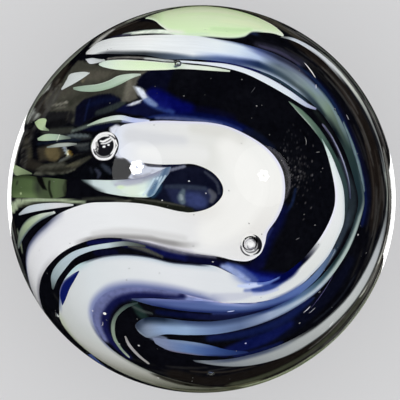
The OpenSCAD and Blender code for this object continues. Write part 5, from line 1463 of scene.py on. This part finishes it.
finished(dust_and_glints(), clouded("pale_dust_and_glints", 9000.0, 0.4, 0.9), "clear_glass", "clear_glass")


def floor():
    """A plain pale floor under the ball. The ball's gloss doesn't show it."""
    ground = added("floor", bpy.ops.mesh.primitive_circle_add,
                   vertices=96, radius=0.6, fill_type="NGON", location=(0, 0, -BALL_R * MM))
    ground.data.materials.append(Finish("pale_floor").matt((0.72, 0.72, 0.73, 1), 0.8, 0.1))
    ground.visible_glossy = False


floor()


def lamp_of(name, shape, radiance, size, size_y, area):
    """An area lamp whose mirror image has this radiance. Only gloss shows it."""
    data = bpy.data.lights.new(name, "AREA")
    data.shape = shape
    data.size = size
    if shape == "RECTANGLE":
        data.size_y = size_y
    data.energy = radiance * math.pi * area
    lamp = bpy.data.objects.new(name, data)
    bpy.context.collection.objects.link(lamp)
    lamp.visible_diffuse = False
    lamp.visible_camera = False
    lamp.visible_transmission = False
    return lamp


def disc_lamp(name, toward, distance, radius, radiance):
    """A round lamp that faces the ball."""
    lamp = lamp_of(name, "DISK", radiance, 2 * radius, 2 * radius, math.pi * radius**2)
    way = Vector(toward).normalized()
    lamp.location = way * distance
    lamp.rotation_euler = way.to_track_quat("Z", "Y").to_euler()


def rim_card(name, far, turn, wide, deep, radiance):
    """A bright card that lies beside the ball and lights its rim from below: its distance in mm, its
    direction in degrees, its size outwards and across in mm."""
    lamp = lamp_of(name, "RECTANGLE", radiance, wide * MM, deep * MM, wide * deep * MM * MM)
    a = math.radians(turn)
    lamp.location = (far * math.cos(a) * MM, far * math.sin(a) * MM, CARD_LEVEL * BALL_R * MM)
    lamp.rotation_euler = (math.pi, 0, a)


def mirrored(u, v):
    """The way to a lamp whose glint the face shows at a charted place."""
    steps = math.hypot(u, v)
    polar = 2 * math.radians(steps * 90 / RIM_STEPS)
    return (math.sin(polar) * u / steps, math.sin(polar) * v / steps, math.cos(polar))


# How far off the lamps are, in metres, and how high the cards lie, as a share of the ball's radius
PETAL_DISTANCE = 0.25
DISC_DISTANCE = 0.26
CARD_LEVEL = -0.94
# The glints: name, place, how far the six petals lie from its middle, the radius of a petal and of the disc
# behind them, in metres, and the radiance of both
GLINTS = [
    ("left", (-19.6, 9.5), 0.0108, 0.0077, 0.070, 24, 1.5),
    ("right", (18.6, 7.0), 0.0092, 0.0052, 0.080, 14, 0.65),
]
for name, place, ring, petal, disc, petal_radiance, disc_radiance in GLINTS:
    way = Vector(mirrored(*place))
    aside = way.cross((0, 0, 1)).normalized()
    upward = way.cross(aside)
    for petal_turn in range(0, 360, 60):
        a = math.radians(petal_turn)
        toward = way * PETAL_DISTANCE + (aside * math.cos(a) + upward * math.sin(a)) * ring
        disc_lamp("glint_petal_%s_%d" % (name, petal_turn), toward, PETAL_DISTANCE, petal, petal_radiance)
    disc_lamp("glint_disc_" + name, way, DISC_DISTANCE, disc, disc_radiance)
rim_card("rim_card_left", 9.9, 172.5, 3.8, 5.6, 2.6)
rim_card("rim_card_right", 10, -4, 4, 5.4, 2.6)

world = bpy.data.worlds.new("studio")
bpy.context.scene.world = world
world.use_nodes = True
world.node_tree.nodes["Background"].inputs["Color"].default_value = (1, 1, 1, 1)
world.node_tree.nodes["Background"].inputs["Strength"].default_value = 1.0
world.cycles_visibility.glossy = False

# The camera looks straight down. In a frame FRAME_WIDE wide, the ball's outline has this radius and middle
VIEW_DISTANCE = 0.300
FRAME_WIDE = 400
OUTLINE_PX = 194
CENTRE_PX = (201.5, 199)
SENSOR_WIDE = 36
camera_data = bpy.data.cameras.new("camera")
camera = bpy.data.objects.new("camera", camera_data)
bpy.context.collection.objects.link(camera)
camera.location = (0, 0, VIEW_DISTANCE)
focal_px = OUTLINE_PX / math.tan(math.asin(BALL_R * MM / VIEW_DISTANCE))
camera_data.sensor_width = SENSOR_WIDE
camera_data.lens = SENSOR_WIDE * focal_px / FRAME_WIDE
camera_data.shift_x = -(CENTRE_PX[0] - FRAME_WIDE / 2) / FRAME_WIDE
camera_data.shift_y = -(FRAME_WIDE / 2 - CENTRE_PX[1]) / FRAME_WIDE
camera_data.clip_start = 0.01
bpy.context.scene.camera = camera
bpy.context.scene.view_settings.view_transform = "Standard"
